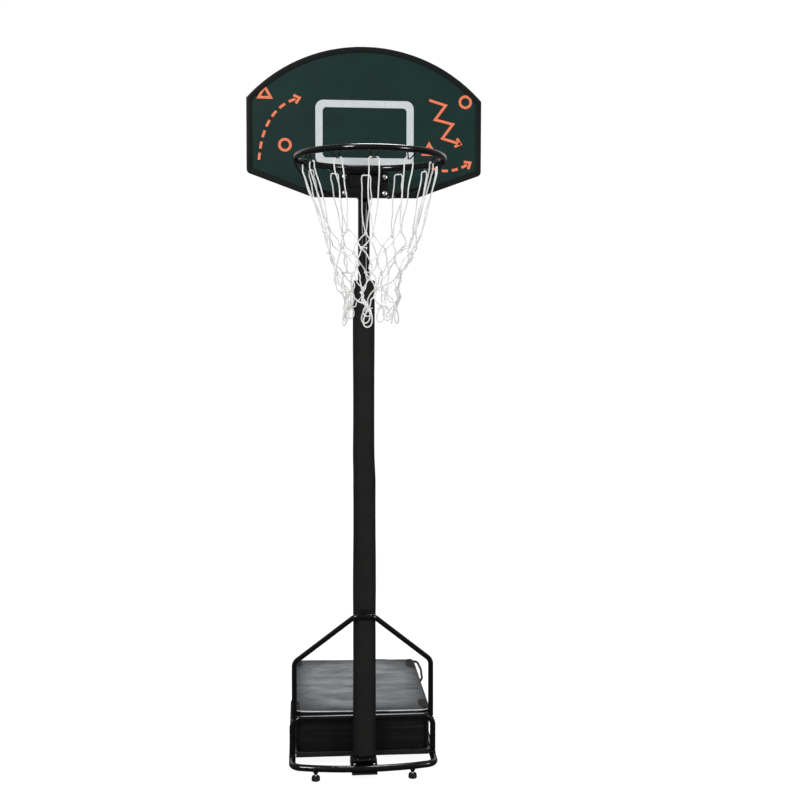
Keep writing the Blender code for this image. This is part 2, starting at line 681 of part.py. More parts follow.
bag_hoop = add("bag_hoop", tube(hoop_path(FRAME_HEIGHT + 0.002), HOOP_TUBE, FRAME_WALL), BLACK_ENAMEL, BASE)
rails = joined([cylinder(FRAME_TUBE + GAP, 0.0, 0.080, "Y", (x, 0.0, FRAME_HEIGHT), 28)
                for x in (-FRAME_HALF, FRAME_HALF)])
boolean(bag_hoop, add("rail_saddle_cutter", rails, BLACK_ENAMEL, BASE))


def stay_path():
    """One tube: up from the hoop's left shoulder, round the front of the pole, and down to the right."""
    half = [(-STAY_HALF, HOOP_Y, STAY_FOOT), (-STAY_HALF, STAY_BEND_Y, STAY_BEND_Z),
            (-STAY_CROSSING, STAY_FRONT, STAY_TOP)]
    return rounded_path(half + [(-x, y, z) for x, y, z in reversed(half)], [0.030] * 4, 5)


stay = add("stay", tube(stay_path(), STAY_TUBE, FRAME_WALL, 12), BLACK_ENAMEL, BASE)
shoulders = rod(hoop_path(0.090), HOOP_TUBE + GAP, 28)
boolean(stay, add("shoulder_saddle_cutter", shoulders, BLACK_ENAMEL, BASE))
stay_hole = cylinder(STAY_BOLT + GAP, STAY_FRONT, 0.0, "Y", (0.0, 0.0, STAY_TOP), 12)
boolean(stay, add("stay_hole_cutter", stay_hole, ZINC, BASE))
head_seat = SLEEVE_PINCH + GAP
bolt_tip = STAY_FRONT + 0.001
stay_bolt = turned([(0.0, 0.0335), (0.0046, 0.0335), (0.0052, 0.0325), (0.0052, head_seat),
                    (STAY_BOLT, head_seat), (STAY_BOLT, bolt_tip), (0.0, bolt_tip)], 12, "Y")
add("stay_bolt", stay_bolt, ZINC, BASE, (0.0, 0.0, STAY_TOP))


# Pole shoe and the saddle under the bow

shoe = block((-SHOE_HALF, -0.040, SADDLE_TOP + GAP), (SHOE_HALF, 0.036, SHOE_TOP))
for vertex in shoe.verts:
    if vertex.co.z < SHOE_TOP - 0.001:
        vertex.co.x *= 1.05
pole_shoe = add("pole_shoe", shoe, BLACK_ENAMEL, BASE)
channel = block((-SHOE_HALF + 0.003, -0.060, SADDLE_TOP - 0.010), (SHOE_HALF - 0.003, 0.060, SHOE_TOP - 0.003))
boolean(pole_shoe, add("shoe_channel_cutter", channel, BLACK_ENAMEL, BASE))


def shoe_holes():
    return joined([cylinder(0.0037, 0.0, 0.080, "Z", (x, SHOE_BOLT_Y, 0.0), 12) for _, x in SHOE_BOLTS])


boolean(pole_shoe, add("shoe_hole_cutter", shoe_holes(), ZINC, BASE))
saddle_low = SADDLE_TOP - 0.0030
saddle = block((-SHOE_HALF, -0.069, saddle_low), (SHOE_HALF, 0.036, SADDLE_TOP))
bow_saddle = add("bow_saddle", saddle, BLACK_ENAMEL, BASE)
lip = block((-SHOE_HALF, -0.0735, saddle_low - 0.0012), (SHOE_HALF, -0.0680, SADDLE_TOP))
boolean(bow_saddle, add("saddle_lip_joiner", lip, BLACK_ENAMEL, BASE), "UNION")
boolean(bow_saddle, add("saddle_hole_cutter", shoe_holes(), ZINC, BASE))
stud_holes = [cylinder(STUD_SHANK + GAP, 0.0, 0.060, "Z", (x, BOW_STUD_Y, 0.0), 12) for _, x, _ in BOW_STUDS]
boolean(bow_saddle, add("stud_hole_cutter", joined(stud_holes), ZINC, BASE))
for side, x, tip in BOW_STUDS:
    stud = turned([(0.0, 0.0500), (0.0024, 0.0496), (0.0038, 0.0484), (0.0040, 0.0470),
                   (0.0040, SADDLE_TOP + GAP), (STUD_SHANK, SADDLE_TOP + GAP), (STUD_SHANK, tip + 0.0050),
                   (0.0, tip)], 12)
    add(f"bow_stud_{side}", stud, ZINC, BASE, (x, BOW_STUD_Y, 0.0))
for side, x in SHOE_BOLTS:
    bolt = turned([(0.0, 0.0508), (0.0058, 0.0504), (0.0066, 0.0490), (0.0066, 0.0455), (0.0033, 0.0455),
                   (0.0033, 0.0), (0.0, 0.0)], 12)
    add(f"shoe_bolt_{side}", bolt, BLACK_ENAMEL, BASE, (x, SHOE_BOLT_Y, SHOE_TOP + GAP - 0.0455))
    nut = hex_nut(0.010, 0.0036, 0.0050, "Z")
    add(f"shoe_nut_{side}", nut, ZINC, BASE, (x, SHOE_BOLT_Y, saddle_low - GAP - 0.0050))


# Levelling feet under the bow, rubber feet at the back, slats under the bag: the first has a flange

pad_radius, pad_height = FOOT_PAD
for side, parent in FEET.items():
    boss = turned([(0.0045, 0.0205), (0.0085, 0.0270), (0.0085, 0.0345), (0.0045, 0.0345)], 16)
    foot_boss = add(f"foot_boss_{side}", boss, BLACK_ENAMEL, parent)
    mirror = -1 if side == "left" else 1
    route = [(mirror * x, bow_y(x), FRAME_HEIGHT) for x in (0.050, 0.100, 0.150, 0.200)]
    bow = rod(route, FRAME_TUBE + GAP, 28)
    boolean(foot_boss, add(f"boss_cutter_{side}", bow, BLACK_ENAMEL, BASE))
    pad = turned([(0.0, 0.0), (pad_radius - 0.001, 0.0), (pad_radius, 0.0015), (pad_radius - 0.0005, 0.0110),
                  (pad_radius - 0.0030, pad_height), (0.0053, pad_height), (0.0053, 0.0060), (0.0, 0.0060)], 20)
    add(f"foot_pad_{side}", pad, BLACK_RUBBER, parent)
    stem = turned([(0.0, 0.0063), (0.0050, 0.0063), (0.0050, 0.0140), (0.0040, 0.0150), (0.0040, 0.0266),
                   (0.0, 0.0266)], 12)
    add(f"foot_stem_{side}", stem, ZINC, parent)

for side, x in (("left", -REAR_FOOT_X), ("right", REAR_FOOT_X)):
    foot = turned([(0.0, 0.0), (0.0140, 0.0), (REAR_FOOT, 0.0020), (0.0130, 0.0360), (0.0, 0.0360)], 16)
    rear_foot = add(f"rear_foot_{side}", foot, BLACK_RUBBER, BASE, (x, FRAME_REAR, 0.0))
    rear_rail = cylinder(FRAME_TUBE + GAP, -0.030, 0.030, "X", (x, FRAME_REAR, FRAME_HEIGHT), 28)
    boolean(rear_foot, add(f"rear_foot_cutter_{side}", rear_rail, BLACK_RUBBER, BASE))

slat_low = FRAME_HEIGHT + FRAME_TUBE + GAP
SLATS = []
for number, y in enumerate((SLAT_FRONT + 0.015, 0.345, 0.570), start=1):
    slat = block((-FRAME_HALF - 0.004, y - 0.015, slat_low), (FRAME_HALF + 0.004, y + 0.015, slat_low + 0.003))
    SLATS.append(add(f"bag_slat_{number}", slat, BLACK_ENAMEL, BASE))
flange_half = FRAME_HALF - FRAME_TUBE - 0.001
flange = block((-flange_half, SLAT_FRONT, 0.0360), (flange_half, SLAT_FRONT + 0.003, slat_low + 0.001))
boolean(SLATS[0], add("slat_flange_joiner", flange, BLACK_ENAMEL, BASE), "UNION")


# Weight bag: a flat, crowned cushion of sand

def bag_ring(scale, z, corner=0.045, steps=5):
    """A rounded rectangle of the bag's plan, drawn in to a share of its size."""
    half_y = (BAG_REAR - BAG_FRONT) / 2
    middle_y = (BAG_REAR + BAG_FRONT) / 2
    ring = []
    for i, (cx, cy) in enumerate(((1, -1), (1, 1), (-1, 1), (-1, -1))):
        for k in range(steps + 1):
            angle = math.pi / 2 * (i - 1 + k / steps)
            x = cx * (BAG_HALF - corner) + corner * math.cos(angle)
            y = cy * (half_y - corner) + corner * math.sin(angle)
            ring.append((x * scale, middle_y + y * scale, z))
    return ring


def weight_bag():
    side = [(0.975, 0.0), (0.990, 0.006), (1.0, 0.030), (1.0, 0.085), (0.996, 0.108)]
    height = BAG_EDGE_TOP - BAG_BOTTOM
    rings = [bag_ring(scale, BAG_BOTTOM + z) for scale, z in side]
    for scale, share in ((0.985, 0.0), (0.93, 0.35), (0.80, 0.70), (0.55, 0.93), (0.25, 1.0)):
        rings.append(bag_ring(scale, BAG_BOTTOM + height + BAG_CROWN * share))
    return loft(rings)


add("weight_bag", weight_bag(), BAG_VINYL, BASE)
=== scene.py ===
# %% [markdown]
# # A children's basketball stand
# The measured model of the stand is loaded first. It holds every tube, plate and pad at its true
# size and place, so nothing here has to be fitted. This lesson then gives each visible piece a finer
# surface, worked out with numpy, and a finish like the one the maker put on it.

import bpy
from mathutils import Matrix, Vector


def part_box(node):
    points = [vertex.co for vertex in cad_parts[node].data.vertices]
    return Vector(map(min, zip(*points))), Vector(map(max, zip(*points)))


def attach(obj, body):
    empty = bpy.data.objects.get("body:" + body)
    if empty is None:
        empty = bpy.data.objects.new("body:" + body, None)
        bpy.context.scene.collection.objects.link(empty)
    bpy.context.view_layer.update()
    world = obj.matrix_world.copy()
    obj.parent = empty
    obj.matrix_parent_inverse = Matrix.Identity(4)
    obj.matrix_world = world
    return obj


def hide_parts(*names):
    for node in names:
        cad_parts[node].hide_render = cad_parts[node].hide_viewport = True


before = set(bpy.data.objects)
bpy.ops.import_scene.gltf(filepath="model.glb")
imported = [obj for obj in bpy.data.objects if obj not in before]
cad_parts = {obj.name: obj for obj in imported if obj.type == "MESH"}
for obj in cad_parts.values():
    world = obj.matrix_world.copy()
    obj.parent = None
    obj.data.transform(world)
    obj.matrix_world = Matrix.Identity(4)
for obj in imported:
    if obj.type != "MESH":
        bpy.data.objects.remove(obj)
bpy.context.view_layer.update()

# %% Modules and shared sizes
import math

import bmesh
import bpy
import numpy as np
from mathutils import Matrix, Vector

SCENE = bpy.context.scene
pole_low, pole_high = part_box("pole_tube")
POLE = np.array([0.0, (pole_low.y + pole_high.y) / 2, 0.0])
STAY_Z = 0.5130              # height where the stay crosses the pole
KNOB_Z = 1.490               # height of the clamp screw
RING_RADIUS = 0.20725
RING_TUBE = 0.0090
RING = POLE + np.array([0.0, -0.314, 1.8827])
print("pole axis at", POLE.round(4), "and ring centre at", RING.round(4))

# %% [markdown]
# ## Camera
# The picture was taken from a little left of the pole, at chest height, and tipped down a few
# degrees. A camera is three things: where it stands, which way it looks, and how wide it sees. The
# three unit vectors below are its own right, up and forward directions, worked out from the angles.

# %% Place the camera
def linked(name, data):
    """A new object with this data, linked to the scene."""
    made = bpy.data.objects.new(name, data)
    SCENE.collection.objects.link(made)
    return made


YAW = math.radians(4.8688)
PITCH = math.radians(3.6047)
ROLL = math.radians(0.139)
FOCAL_PIXELS = 1157.49       # for a picture 800 pixels wide

forward = Vector((math.sin(YAW) * math.cos(PITCH), math.cos(YAW) * math.cos(PITCH),
                  -math.sin(PITCH)))
level = Vector((math.cos(YAW), -math.sin(YAW), 0.0))
right = math.cos(ROLL) * level + math.sin(ROLL) * level.cross(forward)
upward = right.cross(forward)
camera = linked("camera", bpy.data.cameras.new("camera"))
turn = Matrix((right, upward, -forward)).transposed().to_4x4()
camera.matrix_world = Matrix.Translation(Vector((-0.1923, -3.5841, 1.4117)) + Vector(POLE)) @ turn
camera.data.sensor_width = 36.0
camera.data.lens = FOCAL_PIXELS / 800 * camera.data.sensor_width
camera.data.clip_end = 60.0
SCENE.camera = camera
print("lens", round(camera.data.lens, 2), "mm, at", [round(v, 3) for v in camera.location])

# %% [markdown]
# ## How a finish is built
# A material is a small graph of nodes. One helper adds a node, sets its sockets and makes its links.
# Colours are written as the sRGB hex values that a paint chart or a screen shows, and one function
# turns them into the linear light that the renderer works in.

# %% Colour and node helpers
def linear(code):
    """An sRGB hex colour as linear red, green, blue and alpha: small values are divided by 12.92,
    and the others are (c + 0.055) / 1.055 to the power 2.4."""
    channels = [int(code[i:i + 2], 16) / 255 for i in (1, 3, 5)]
    light = [c / 12.92 if c <= 0.04045 else ((c + 0.055) / 1.055) ** 2.4 for c in channels]
    return (*light, 1.0)


def add_node(tree, kind, sockets=None, **settings):
    """Add one shader node. A socket that is given an output is linked to it, a node stands for its
    first output, and any other value is set."""
    made = tree.nodes.new("ShaderNode" + kind)
    for name, value in settings.items():
        setattr(made, name, value)
    for name, value in (sockets or {}).items():
        value = value.outputs[0] if isinstance(value, bpy.types.Node) else value
        if isinstance(value, bpy.types.NodeSocket):
            tree.links.new(value, made.inputs[name])
        else:
            made.inputs[name].default_value = value
    return made


def new_finish(name):
    """An empty material and its node tree."""
    made = bpy.data.materials.new(name)
    made.use_nodes = True
    made.node_tree.nodes.clear()
    return made, made.node_tree


print("white is", linear("#ffffff"), "and mid grey is", [round(c, 3) for c in linear("#808080")])

# %% [markdown]
# ## Room
# The stand is shown on a white sweep: a floor that curves up into a wall. To the camera the sweep is
# lit white by its own material, and the little diffuse part that is left keeps the soft shadow round
# the feet. Reflections see its floor dark, as if black flags lay round the stand, and its wall white,
# so that gloss shows the lamps and the wall. To all other rays it is ordinary white card. Past its
# edges the camera sees a white world, which lights the stand only a little.

# %% The sweep's surface
def sheet_mesh(name, points):
    """An open sheet: a grid of points, joined in squares."""
    rows, columns = points.shape[:2]
    at = np.arange(rows * columns).reshape(rows, columns)
    quads = np.stack([at[:-1, :-1], at[:-1, 1:], at[1:, 1:], at[1:, :-1]], -1)
    mesh = bpy.data.meshes.new(name)
    mesh.from_pydata(points.reshape(-1, 3).tolist(), [], quads.reshape(-1, 4).tolist())
    mesh.shade_smooth()
    return linked(name, mesh)


bend = np.radians(np.linspace(0, 90, 25))
profile_y = np.concatenate([[-9.0, -2.0], 4.0 + 2.5 * np.sin(bend), [6.5]])
profile_z = np.concatenate([[0.0, 0.0], 2.5 - 2.5 * np.cos(bend), [9.0]])
across = np.linspace(-9.0, 9.0, 5)
sweep_points = np.stack(np.broadcast_arrays(across, profile_y[:, None], profile_z[:, None]), -1)
sweep = sheet_mesh("white_sweep", sweep_points)
print("sweep is", across[-1] - across[0], "m wide and", profile_z[-1], "m high")

# %% The sweep's finish
white_card, tree = new_finish("white studio card")
rays = add_node(tree, "LightPath")
seen = add_node(tree, "Math", {0: rays.outputs["Is Camera Ray"],
                               1: rays.outputs["Is Transmission Ray"]}, operation="MAXIMUM")
shaded = add_node(tree, "BsdfDiffuse", {"Color": linear("#808080")})
glow = add_node(tree, "Emission", {"Color": (1, 1, 1, 1), "Strength": 0.94})
lit = add_node(tree, "AddShader", {0: shaded, 1: glow})
card = add_node(tree, "BsdfDiffuse", {"Color": linear("#e8e8e8")})
place = add_node(tree, "NewGeometry")
height = add_node(tree, "SeparateXYZ", {0: place.outputs["Position"]})
wall = add_node(tree, "MapRange", {"Value": height.outputs["Z"], "From Min": 1.0, "From Max": 1.9,
                                   "To Min": 0.08, "To Max": 1.0})
flag = add_node(tree, "Emission", {"Color": (1, 1, 1, 1), "Strength": wall})
beside = add_node(tree, "MixShader", {0: rays.outputs["Is Glossy Ray"], 1: card, 2: flag})
both = add_node(tree, "MixShader", {0: seen, 1: beside, 2: lit})
add_node(tree, "OutputMaterial", {"Surface": both})
sweep.data.materials.append(white_card)
print("the card's graph has", len(tree.nodes), "nodes")

# %% The world and the lamps
room = bpy.data.worlds.new("room")
room.use_nodes = True
room.node_tree.nodes["Background"].inputs["Color"].default_value = linear("#ffffff")
rays = add_node(room.node_tree, "LightPath")
shown = add_node(room.node_tree, "Math", {0: rays.outputs["Is Camera Ray"], 1: 0.76, 2: 0.22},
                 operation="MULTIPLY_ADD")
room.node_tree.links.new(shown.outputs[0], room.node_tree.nodes["Background"].inputs["Strength"])
SCENE.world = room


def softbox(name, place, aim, width, height, watts):
    """A square lamp that faces a point."""
    lamp = bpy.data.lights.new(name, "AREA")
    lamp.shape = "RECTANGLE"
    lamp.size = width
    lamp.size_y = height
    lamp.energy = watts
    made = linked(name, lamp)
    made.location = place
    made.rotation_euler = (Vector(aim) - Vector(place)).to_track_quat("-Z", "Y").to_euler()
    return lamp.energy


power = softbox("key_softbox", (-2.2, -3.6, 3.4), (0.0, 0.0, 1.1), 0.9, 1.6, 110)
power += softbox("fill_softbox", (2.9, -3.0, 2.0), (0.0, 0.0, 1.0), 0.8, 1.8, 55)
power += softbox("top_softbox", (0.3, 0.7, 4.2), (0.0, 0.0, 0.6), 1.2, 1.2, 85)
SCENE.view_settings.view_transform = "Standard"
print("lamps give", power, "watts in all")

# %% [markdown]
# ## How a surface is built
# Nearly every piece here is a grid: a profile that is carried along a path, or turned round an axis.
# The grid is worked out as one array, its squares are found from row and column numbers, and the
# piece gets a UV map in metres, so that a weave or a braid can follow the surface at its true size.

# %% Grids to meshes
def grid_faces(points, around, along):
    """The squares of a grid, and their UVs in metres: distance along the rows and round them."""
    rows, columns = points.shape[:2]
    i, j = np.indices((rows if along else rows - 1, columns if around else columns - 1))
    row = np.stack([i, i, i + 1, i + 1], -1).reshape(-1, 4)
    column = np.stack([j, j + 1, j + 1, j], -1).reshape(-1, 4)
    steps = np.linalg.norm(np.roll(points, -1, 0) - points, axis=-1).mean(1)
    length = np.concatenate([[0.0], np.cumsum(steps)])
    girth = np.linalg.norm(np.roll(points, -1, 1) - points, axis=-1).sum(1).mean()
    uv = np.stack([length[row], girth * column / columns], -1)
    return (row % rows) * columns + column % columns, uv


def cleaned(mesh, flatten=False):
    """Merge a mesh's doubled corners, on request its flat triangles too, and turn its faces out."""
    shape = bmesh.new()
    shape.from_mesh(mesh)
    bmesh.ops.remove_doubles(shape, verts=shape.verts, dist=1e-6)
    if flatten:
        bmesh.ops.dissolve_limit(shape, angle_limit=math.radians(1), verts=shape.verts,
                                 edges=shape.edges)
    bmesh.ops.recalc_face_normals(shape, faces=shape.faces)
    shape.to_mesh(mesh)
    shape.free()


def piece(name, grids, coat, body, replaces=(), smooth=40.0, capped=True):
    """One object from grids, hung on its body. Each grid is (points, around, along): around joins the
    last column to the first, along joins the last row to the first, and open rows are capped with a
    face each, unless capped is False. coat is a finish and a slot name; the slot is not used."""
    points, faces, uvs, first = [], [], [], 0
    for grid, around, along in grids:
        rows, columns = grid.shape[:2]
        quads, uv = grid_faces(grid, around, along)
        points.append(grid.reshape(-1, 3))
        faces += (quads + first).tolist()
        uvs.append(uv.reshape(-1, 2))
        if capped and not along:
            faces += (first + np.arange(columns) + [[0], [(rows - 1) * columns]]).tolist()
            uvs.append(np.zeros((2 * columns, 2)))
        first += rows * columns
    mesh = bpy.data.meshes.new(name)
    mesh.from_pydata(np.concatenate(points).tolist(), [], faces)
    uvs = np.concatenate(uvs).astype(np.float32)
    mesh.uv_layers.new(name="metres").data.foreach_set("uv", uvs.ravel())
    cleaned(mesh)
    mesh.shade_smooth()
    mesh.set_sharp_from_angle(angle=math.radians(smooth))
    finish, slot = coat
    mesh.materials.append(finish)
    made = linked(name, mesh)
    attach(made, body)
    if replaces:
        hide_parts(*replaces)
    return made


def modified(made, kind, **settings):
    """Change an object's mesh by one modifier, for good."""
    modifier = made.modifiers.new(kind, kind)
    for name, value in settings.items():
        setattr(modifier, name, value)
    made.data = bpy.data.meshes.new_from_object(
        made.evaluated_get(bpy.context.evaluated_depsgraph_get()))
    made.modifiers.clear()
    return made.data


print("a 3 by 4 tube has", len(grid_faces(np.zeros((3, 4, 3)), True, False)[0]), "squares")

# %% Directions and lengths
SIDES = (("left", -1), ("right", 1))
UP = np.array([0.0, 0.0, 1.0])
BACK = np.array([0.0, 1.0, 0.0])


def mm(*rows):
    """Lengths or points that are written in millimetres, as metres."""
    return np.array(rows) / 1000


def circle(count):
    """The angles of count even steps round a circle."""
    return np.linspace(0, 2 * np.pi, count, endpoint=False)


def flat(angle):
    """Level unit vectors (cos a, sin a, 0)."""
    return np.stack([np.cos(angle), np.sin(angle), np.zeros_like(angle)], -1)


def unit(vectors):
    """Vectors divided by their lengths."""
    return vectors / np.maximum(np.linalg.norm(vectors, axis=-1, keepdims=True), 1e-12)


print("four even steps round a circle:", np.degrees(circle(4)).round(), "degrees")

# %% Paths
def rounded(corners, radii, steps=10):
    """A path through corners, each inner one replaced by an arc of its radius. The arc starts and
    ends at radius / tan(half the corner's angle) from the corner."""
    corners = np.asarray(corners, float)
    path = [corners[:1]]
    for before, corner, after, radius in zip(corners, corners[1:], corners[2:], radii):
        back, ahead = unit(before - corner), unit(after - corner)
        half = np.arccos(np.clip(back @ ahead, -1, 1)) / 2
        centre = corner + unit(back + ahead) * radius / np.sin(half)
        cut = radius / np.tan(half)
        start, end = corner + back * cut - centre, corner + ahead * cut - centre
        swing = np.pi - 2 * half
        t = np.linspace(0, 1, steps + 1)[:, None]
        arc = start * np.sin((1 - t) * swing) + end * np.sin(t * swing)
        path.append(centre + arc / np.sin(swing))
    path.append(corners[-1:])
    return np.concatenate(path)


def lengths(path):
    """The distance along a path at each of its points."""
    return np.concatenate([[0.0], np.cumsum(np.linalg.norm(np.diff(path, axis=0), axis=1))])


def spaced(path, step):
    """The same path with a point at about every step of its length. Its own points are kept, less
    those within 0.12 of a step of the point before."""
    length = lengths(path)
    marks = np.unique(np.concatenate([length, np.arange(0.0, length[-1], step)]).round(6))
    marks = marks[np.concatenate([[True], np.diff(marks) > step * 0.12])]
    return np.stack([np.interp(marks, length, path[:, k]) for k in range(3)], -1)


bend = rounded([[0, 0, 0], [0.02, 0, 0], [0.02, 0.02, 0]], [0.01])
print("a quarter bend of 10 mm is", lengths(bend)[-1].round(4), "m long, with its straight ends")

# %% Tubes and turned shapes
def tube(path, radius, sides, up, closed=False):
    """A round tube: the path plus radius times (cos a · side + sin a · top), where side is the
    tangent crossed with up, and top is side crossed with the tangent."""
    ahead, behind = np.roll(path, -1, -2), np.roll(path, 1, -2)
    if not closed:
        ahead[..., -1, :], behind[..., 0, :] = path[..., -1, :], path[..., 0, :]
    tangent = unit(ahead - behind)
    side = unit(np.cross(tangent, np.broadcast_to(up, path.shape)))
    top = np.cross(side, tangent)
    angle = circle(sides)[:, None]
    radius = np.broadcast_to(radius, path.shape[:-1])[..., None, None]
    spread = np.cos(angle) * side[..., None, :] + np.sin(angle) * top[..., None, :]
    return path[..., None, :] + radius * spread


def route(corners, radii, steps, step):
    """A spaced path with rounded corners, placed from the pole's axis."""
    return spaced(rounded(corners, radii, steps), step) + POLE


def rod(path, radius, sides, up, closed=False):
    """A tube as a grid for piece."""
    return (tube(path, radius, sides, up, closed), True, closed)


def along(points, axis, place):
    """Lay a grid that was made along Z along another axis, and carry it to its place."""
    order = {"Z": [0, 1, 2], "Y": [0, 2, 1], "X": [2, 0, 1]}[axis]
    return points[..., order] + np.asarray(place)


def lathe(profile, sides, centre, axis="Z"):
    """A profile of (radius, height) turned round an axis: x = radius · cos a, y = radius · sin a."""
    radius, height = np.asarray(profile, float).T[..., None]
    angle = circle(sides)
    ring = np.stack(np.broadcast_arrays(radius * np.cos(angle), radius * np.sin(angle), height), -1)
    return along(ring, axis, centre)


print("a tube of 8 sides along the bend has", tube(bend, 0.002, 8, UP).size // 3, "points")

# %% [markdown]
# ## The finishes
# Each finish starts from what the maker used. Steel tube and plate wear a stoved black enamel: it is
# glossy but never flat, because it shrinks into a fine orange peel. The small fasteners are zinc
# plated. Mouldings are polypropylene and PVC. Patterns are sized in millimetres in the object's own
# space, so they stay put when a part moves.

# %% Patterns and finishes from them
def patches(tree, millimetres, low, high, detail=2.0, stretch=(1.0, 1.0, 1.0)):
    """A value that drifts from low to high over patches of a real size: noise in object space, its
    middle part spread over the range."""
    place = add_node(tree, "TexCoord")
    scaled = add_node(tree, "Mapping", {"Vector": place.outputs["Object"], "Scale": stretch})
    noise = add_node(tree, "TexNoise",
                     {"Vector": scaled, "Scale": 1000 / millimetres, "Detail": detail})
    return add_node(tree, "MapRange", {"Value": noise, "From Min": 0.3, "From Max": 0.7,
                                       "To Min": low, "To Max": high})


def surface(name, tints, rough, gloss, relief=None, strength=0.0, depth=0.0, **more):
    """A finish. tints is one hex colour, or two and what patches needs to share them out. rough is a
    number, or what patches needs. relief gives the height for a relief of strength · depth: what
    patches needs, or a function that adds its own nodes. more holds other sockets of the shader."""
    made, tree = new_finish(name)
    colour = linear(tints[0])
    if len(tints) > 1:
        mixed = add_node(tree, "Mix", {0: patches(tree, *tints[2]), 6: colour, 7: linear(tints[1])},
                         data_type="RGBA")
        colour = mixed.outputs[2]
    if isinstance(rough, tuple):
        rough = patches(tree, *rough)
    if relief:
        height = relief(tree) if callable(relief) else patches(tree, *relief)
        more["Normal"] = add_node(tree, "Bump", {"Height": height, "Strength": strength,
                                                 "Distance": depth})
    sockets = {"Base Color": colour, "Roughness": rough, "Specular IOR Level": gloss}
    shader = add_node(tree, "BsdfPrincipled", sockets | more)
    add_node(tree, "OutputMaterial", {"Surface": shader})
    return made


# Stoved enamel on steel: glossy black, with a fine peel of about 1.6 mm that breaks up its highlights
# and duller patches where hands and the floor have rubbed it.
enamel = surface("stoved black enamel", ["#08080a"], (18, 0.08, 0.17, 4.0), 0.5,
                 (1.6, 0.0, 1.0), 0.04, 0.0003)
# Powder coat on the pressed plates near the floor: black too, but satin and a little dusty.
powder = surface("satin black powder coat", ["#171718", "#262627", (9, 0.0, 1.0, 4.0)], 0.46, 0.5)
# Bright zinc on pressed steel: a blue-white metal with a slightly cloudy grain.
zinc = surface("bright zinc plate", ["#eceded", "#cfd2d5", (3.0, 0.0, 1.0)], (5, 0.22, 0.42), 0.5,
               (0.6, 0.0, 1.0), 0.12, 0.0002, Metallic=1.0)
# Moulded black polypropylene: satin, with the spark-eroded grain of its mould, about 0.7 mm.
polypropylene = surface("moulded black polypropylene", ["#151516"], (12, 0.42, 0.58), 0.4,
                        (0.7, 0.0, 1.0), 0.25, 0.0002)
# Moulded rubber: matt, with a bloom of pale dust that lightens it in places.
rubber = surface("moulded black rubber", ["#151515", "#242321", (7, 0.0, 1.0, 5.0)], 0.78, 0.3,
                 (0.9, 0.0, 1.0, 4.0), 0.3, 0.0003)
ENAMEL = (enamel, "black_enamel")
ZINC = (zinc, "zinc_plate")
PLASTIC = (polypropylene, "black_plastic")
RUBBER = (rubber, "black_rubber")
print("small parts use", zinc.name, "and", polypropylene.name, "and", rubber.name)

# %% The board's sheet, its edging and its printing inks
# Extruded polyethylene sheet: a deep green, semi-matt, with a faint drawn texture along its length.
green_sheet = surface("extruded green sheet", ["#172d2a", "#1b322e", (90, 0.0, 1.0, 3.0)],
                      (25, 0.44, 0.56, 4.0), 0.12,
                      (2.0, 0.0, 1.0, 3.0, (0.15, 1.0, 1.0)), 0.12, 0.0002)
# Extruded soft PVC edging: satin black, with a green tint that paints light bounced from the sheet.
edging = surface("extruded black PVC edging", ["#151918"], (16, 0.36, 0.48), 0.15,
                 (0.8, 0.0, 1.0), 0.15, 0.0002)
# Screen-printing ink: matt, a little thinner in places, with the screen's 0.4 mm mesh in it, drawn at
# 0.9 mm so that it shows.
white_ink, orange_ink = (
    surface(f"{colour} screen print", [*tints, (12, 0.0, 1.0, 5.0)], 0.5, 0.3,
            (0.9, 0.0, 1.0), 0.15, 0.0001)
    for colour, tints in (("white", ["#d3d8d9", "#c7cdce"]), ("orange", ["#f0825c", "#ea7a54"])))
print("board uses", green_sheet.name, "and", edging.name, "and two inks")

# %% [markdown]
# ## The board
# The board is a flat sheet with a straight foot, slanted lower corners, upright sides and a top edge
# that is one long arc. A soft edging grips it all round. The outline is worked out once, and the
# edging is a small C-shaped section that is carried round it, drawn inwards on each corner's mitre.

# %% Outline of the board
BOARD_HALF = 0.355
BOARD_BOTTOM = 1.803
BOARD_FACE = -0.046          # front of the sheet, measured from the pole's axis
BOARD_BACK = -0.040
SHOULDER = 2.096             # where the upright sides end
ARC_RISE = 0.157
PLATE_HALF = 0.0717


def board_outline():
    """The edge as (x, z), anticlockwise from the player's side. The arc's radius comes from its half
    width w and its rise h: (w² + h²) / 2h."""
    corner_path = [[0, 0, BOARD_BOTTOM], [0.157, 0, BOARD_BOTTOM],
                   [BOARD_HALF, 0, BOARD_BOTTOM + 0.072], [BOARD_HALF, 0, SHOULDER]]
    side = rounded(corner_path, [0.030, 0.014], 8)[1:, ::2]
    notch = np.array([[PLATE_HALF + 0.0003, BOARD_BOTTOM], [PLATE_HALF + 0.0006, BOARD_BOTTOM]])
    radius = (BOARD_HALF ** 2 + ARC_RISE ** 2) / (2 * ARC_RISE)
    sweep_angle = math.asin(BOARD_HALF / radius)
    angle = np.linspace(sweep_angle, -sweep_angle, 97)[1:-1]
    arc = np.stack([radius * np.sin(angle),
                    SHOULDER + ARC_RISE - radius + radius * np.cos(angle)], -1)
    half = np.concatenate([notch, side])
    return np.concatenate([half, arc, half[::-1] * [-1, 1]])


def mitres(points, closed=True):
    """For each point of an (x, z) line, the step to the left that keeps both its legs 1 away: the
    mitre, divided by the cosine of half the turn. A cosine under 0.35 counts as 0.35."""
    ahead = unit(np.roll(points, -1, 0) - points)
    behind = np.roll(ahead, 1, 0)
    if not closed:
        ahead[-1], behind[0] = behind[-1], ahead[0]
    normal = np.stack([-ahead[:, 1], ahead[:, 0]], -1)
    mitre = unit(normal + np.stack([-behind[:, 1], behind[:, 0]], -1))
    return mitre / np.maximum(np.sum(mitre * normal, -1, keepdims=True), 0.35)


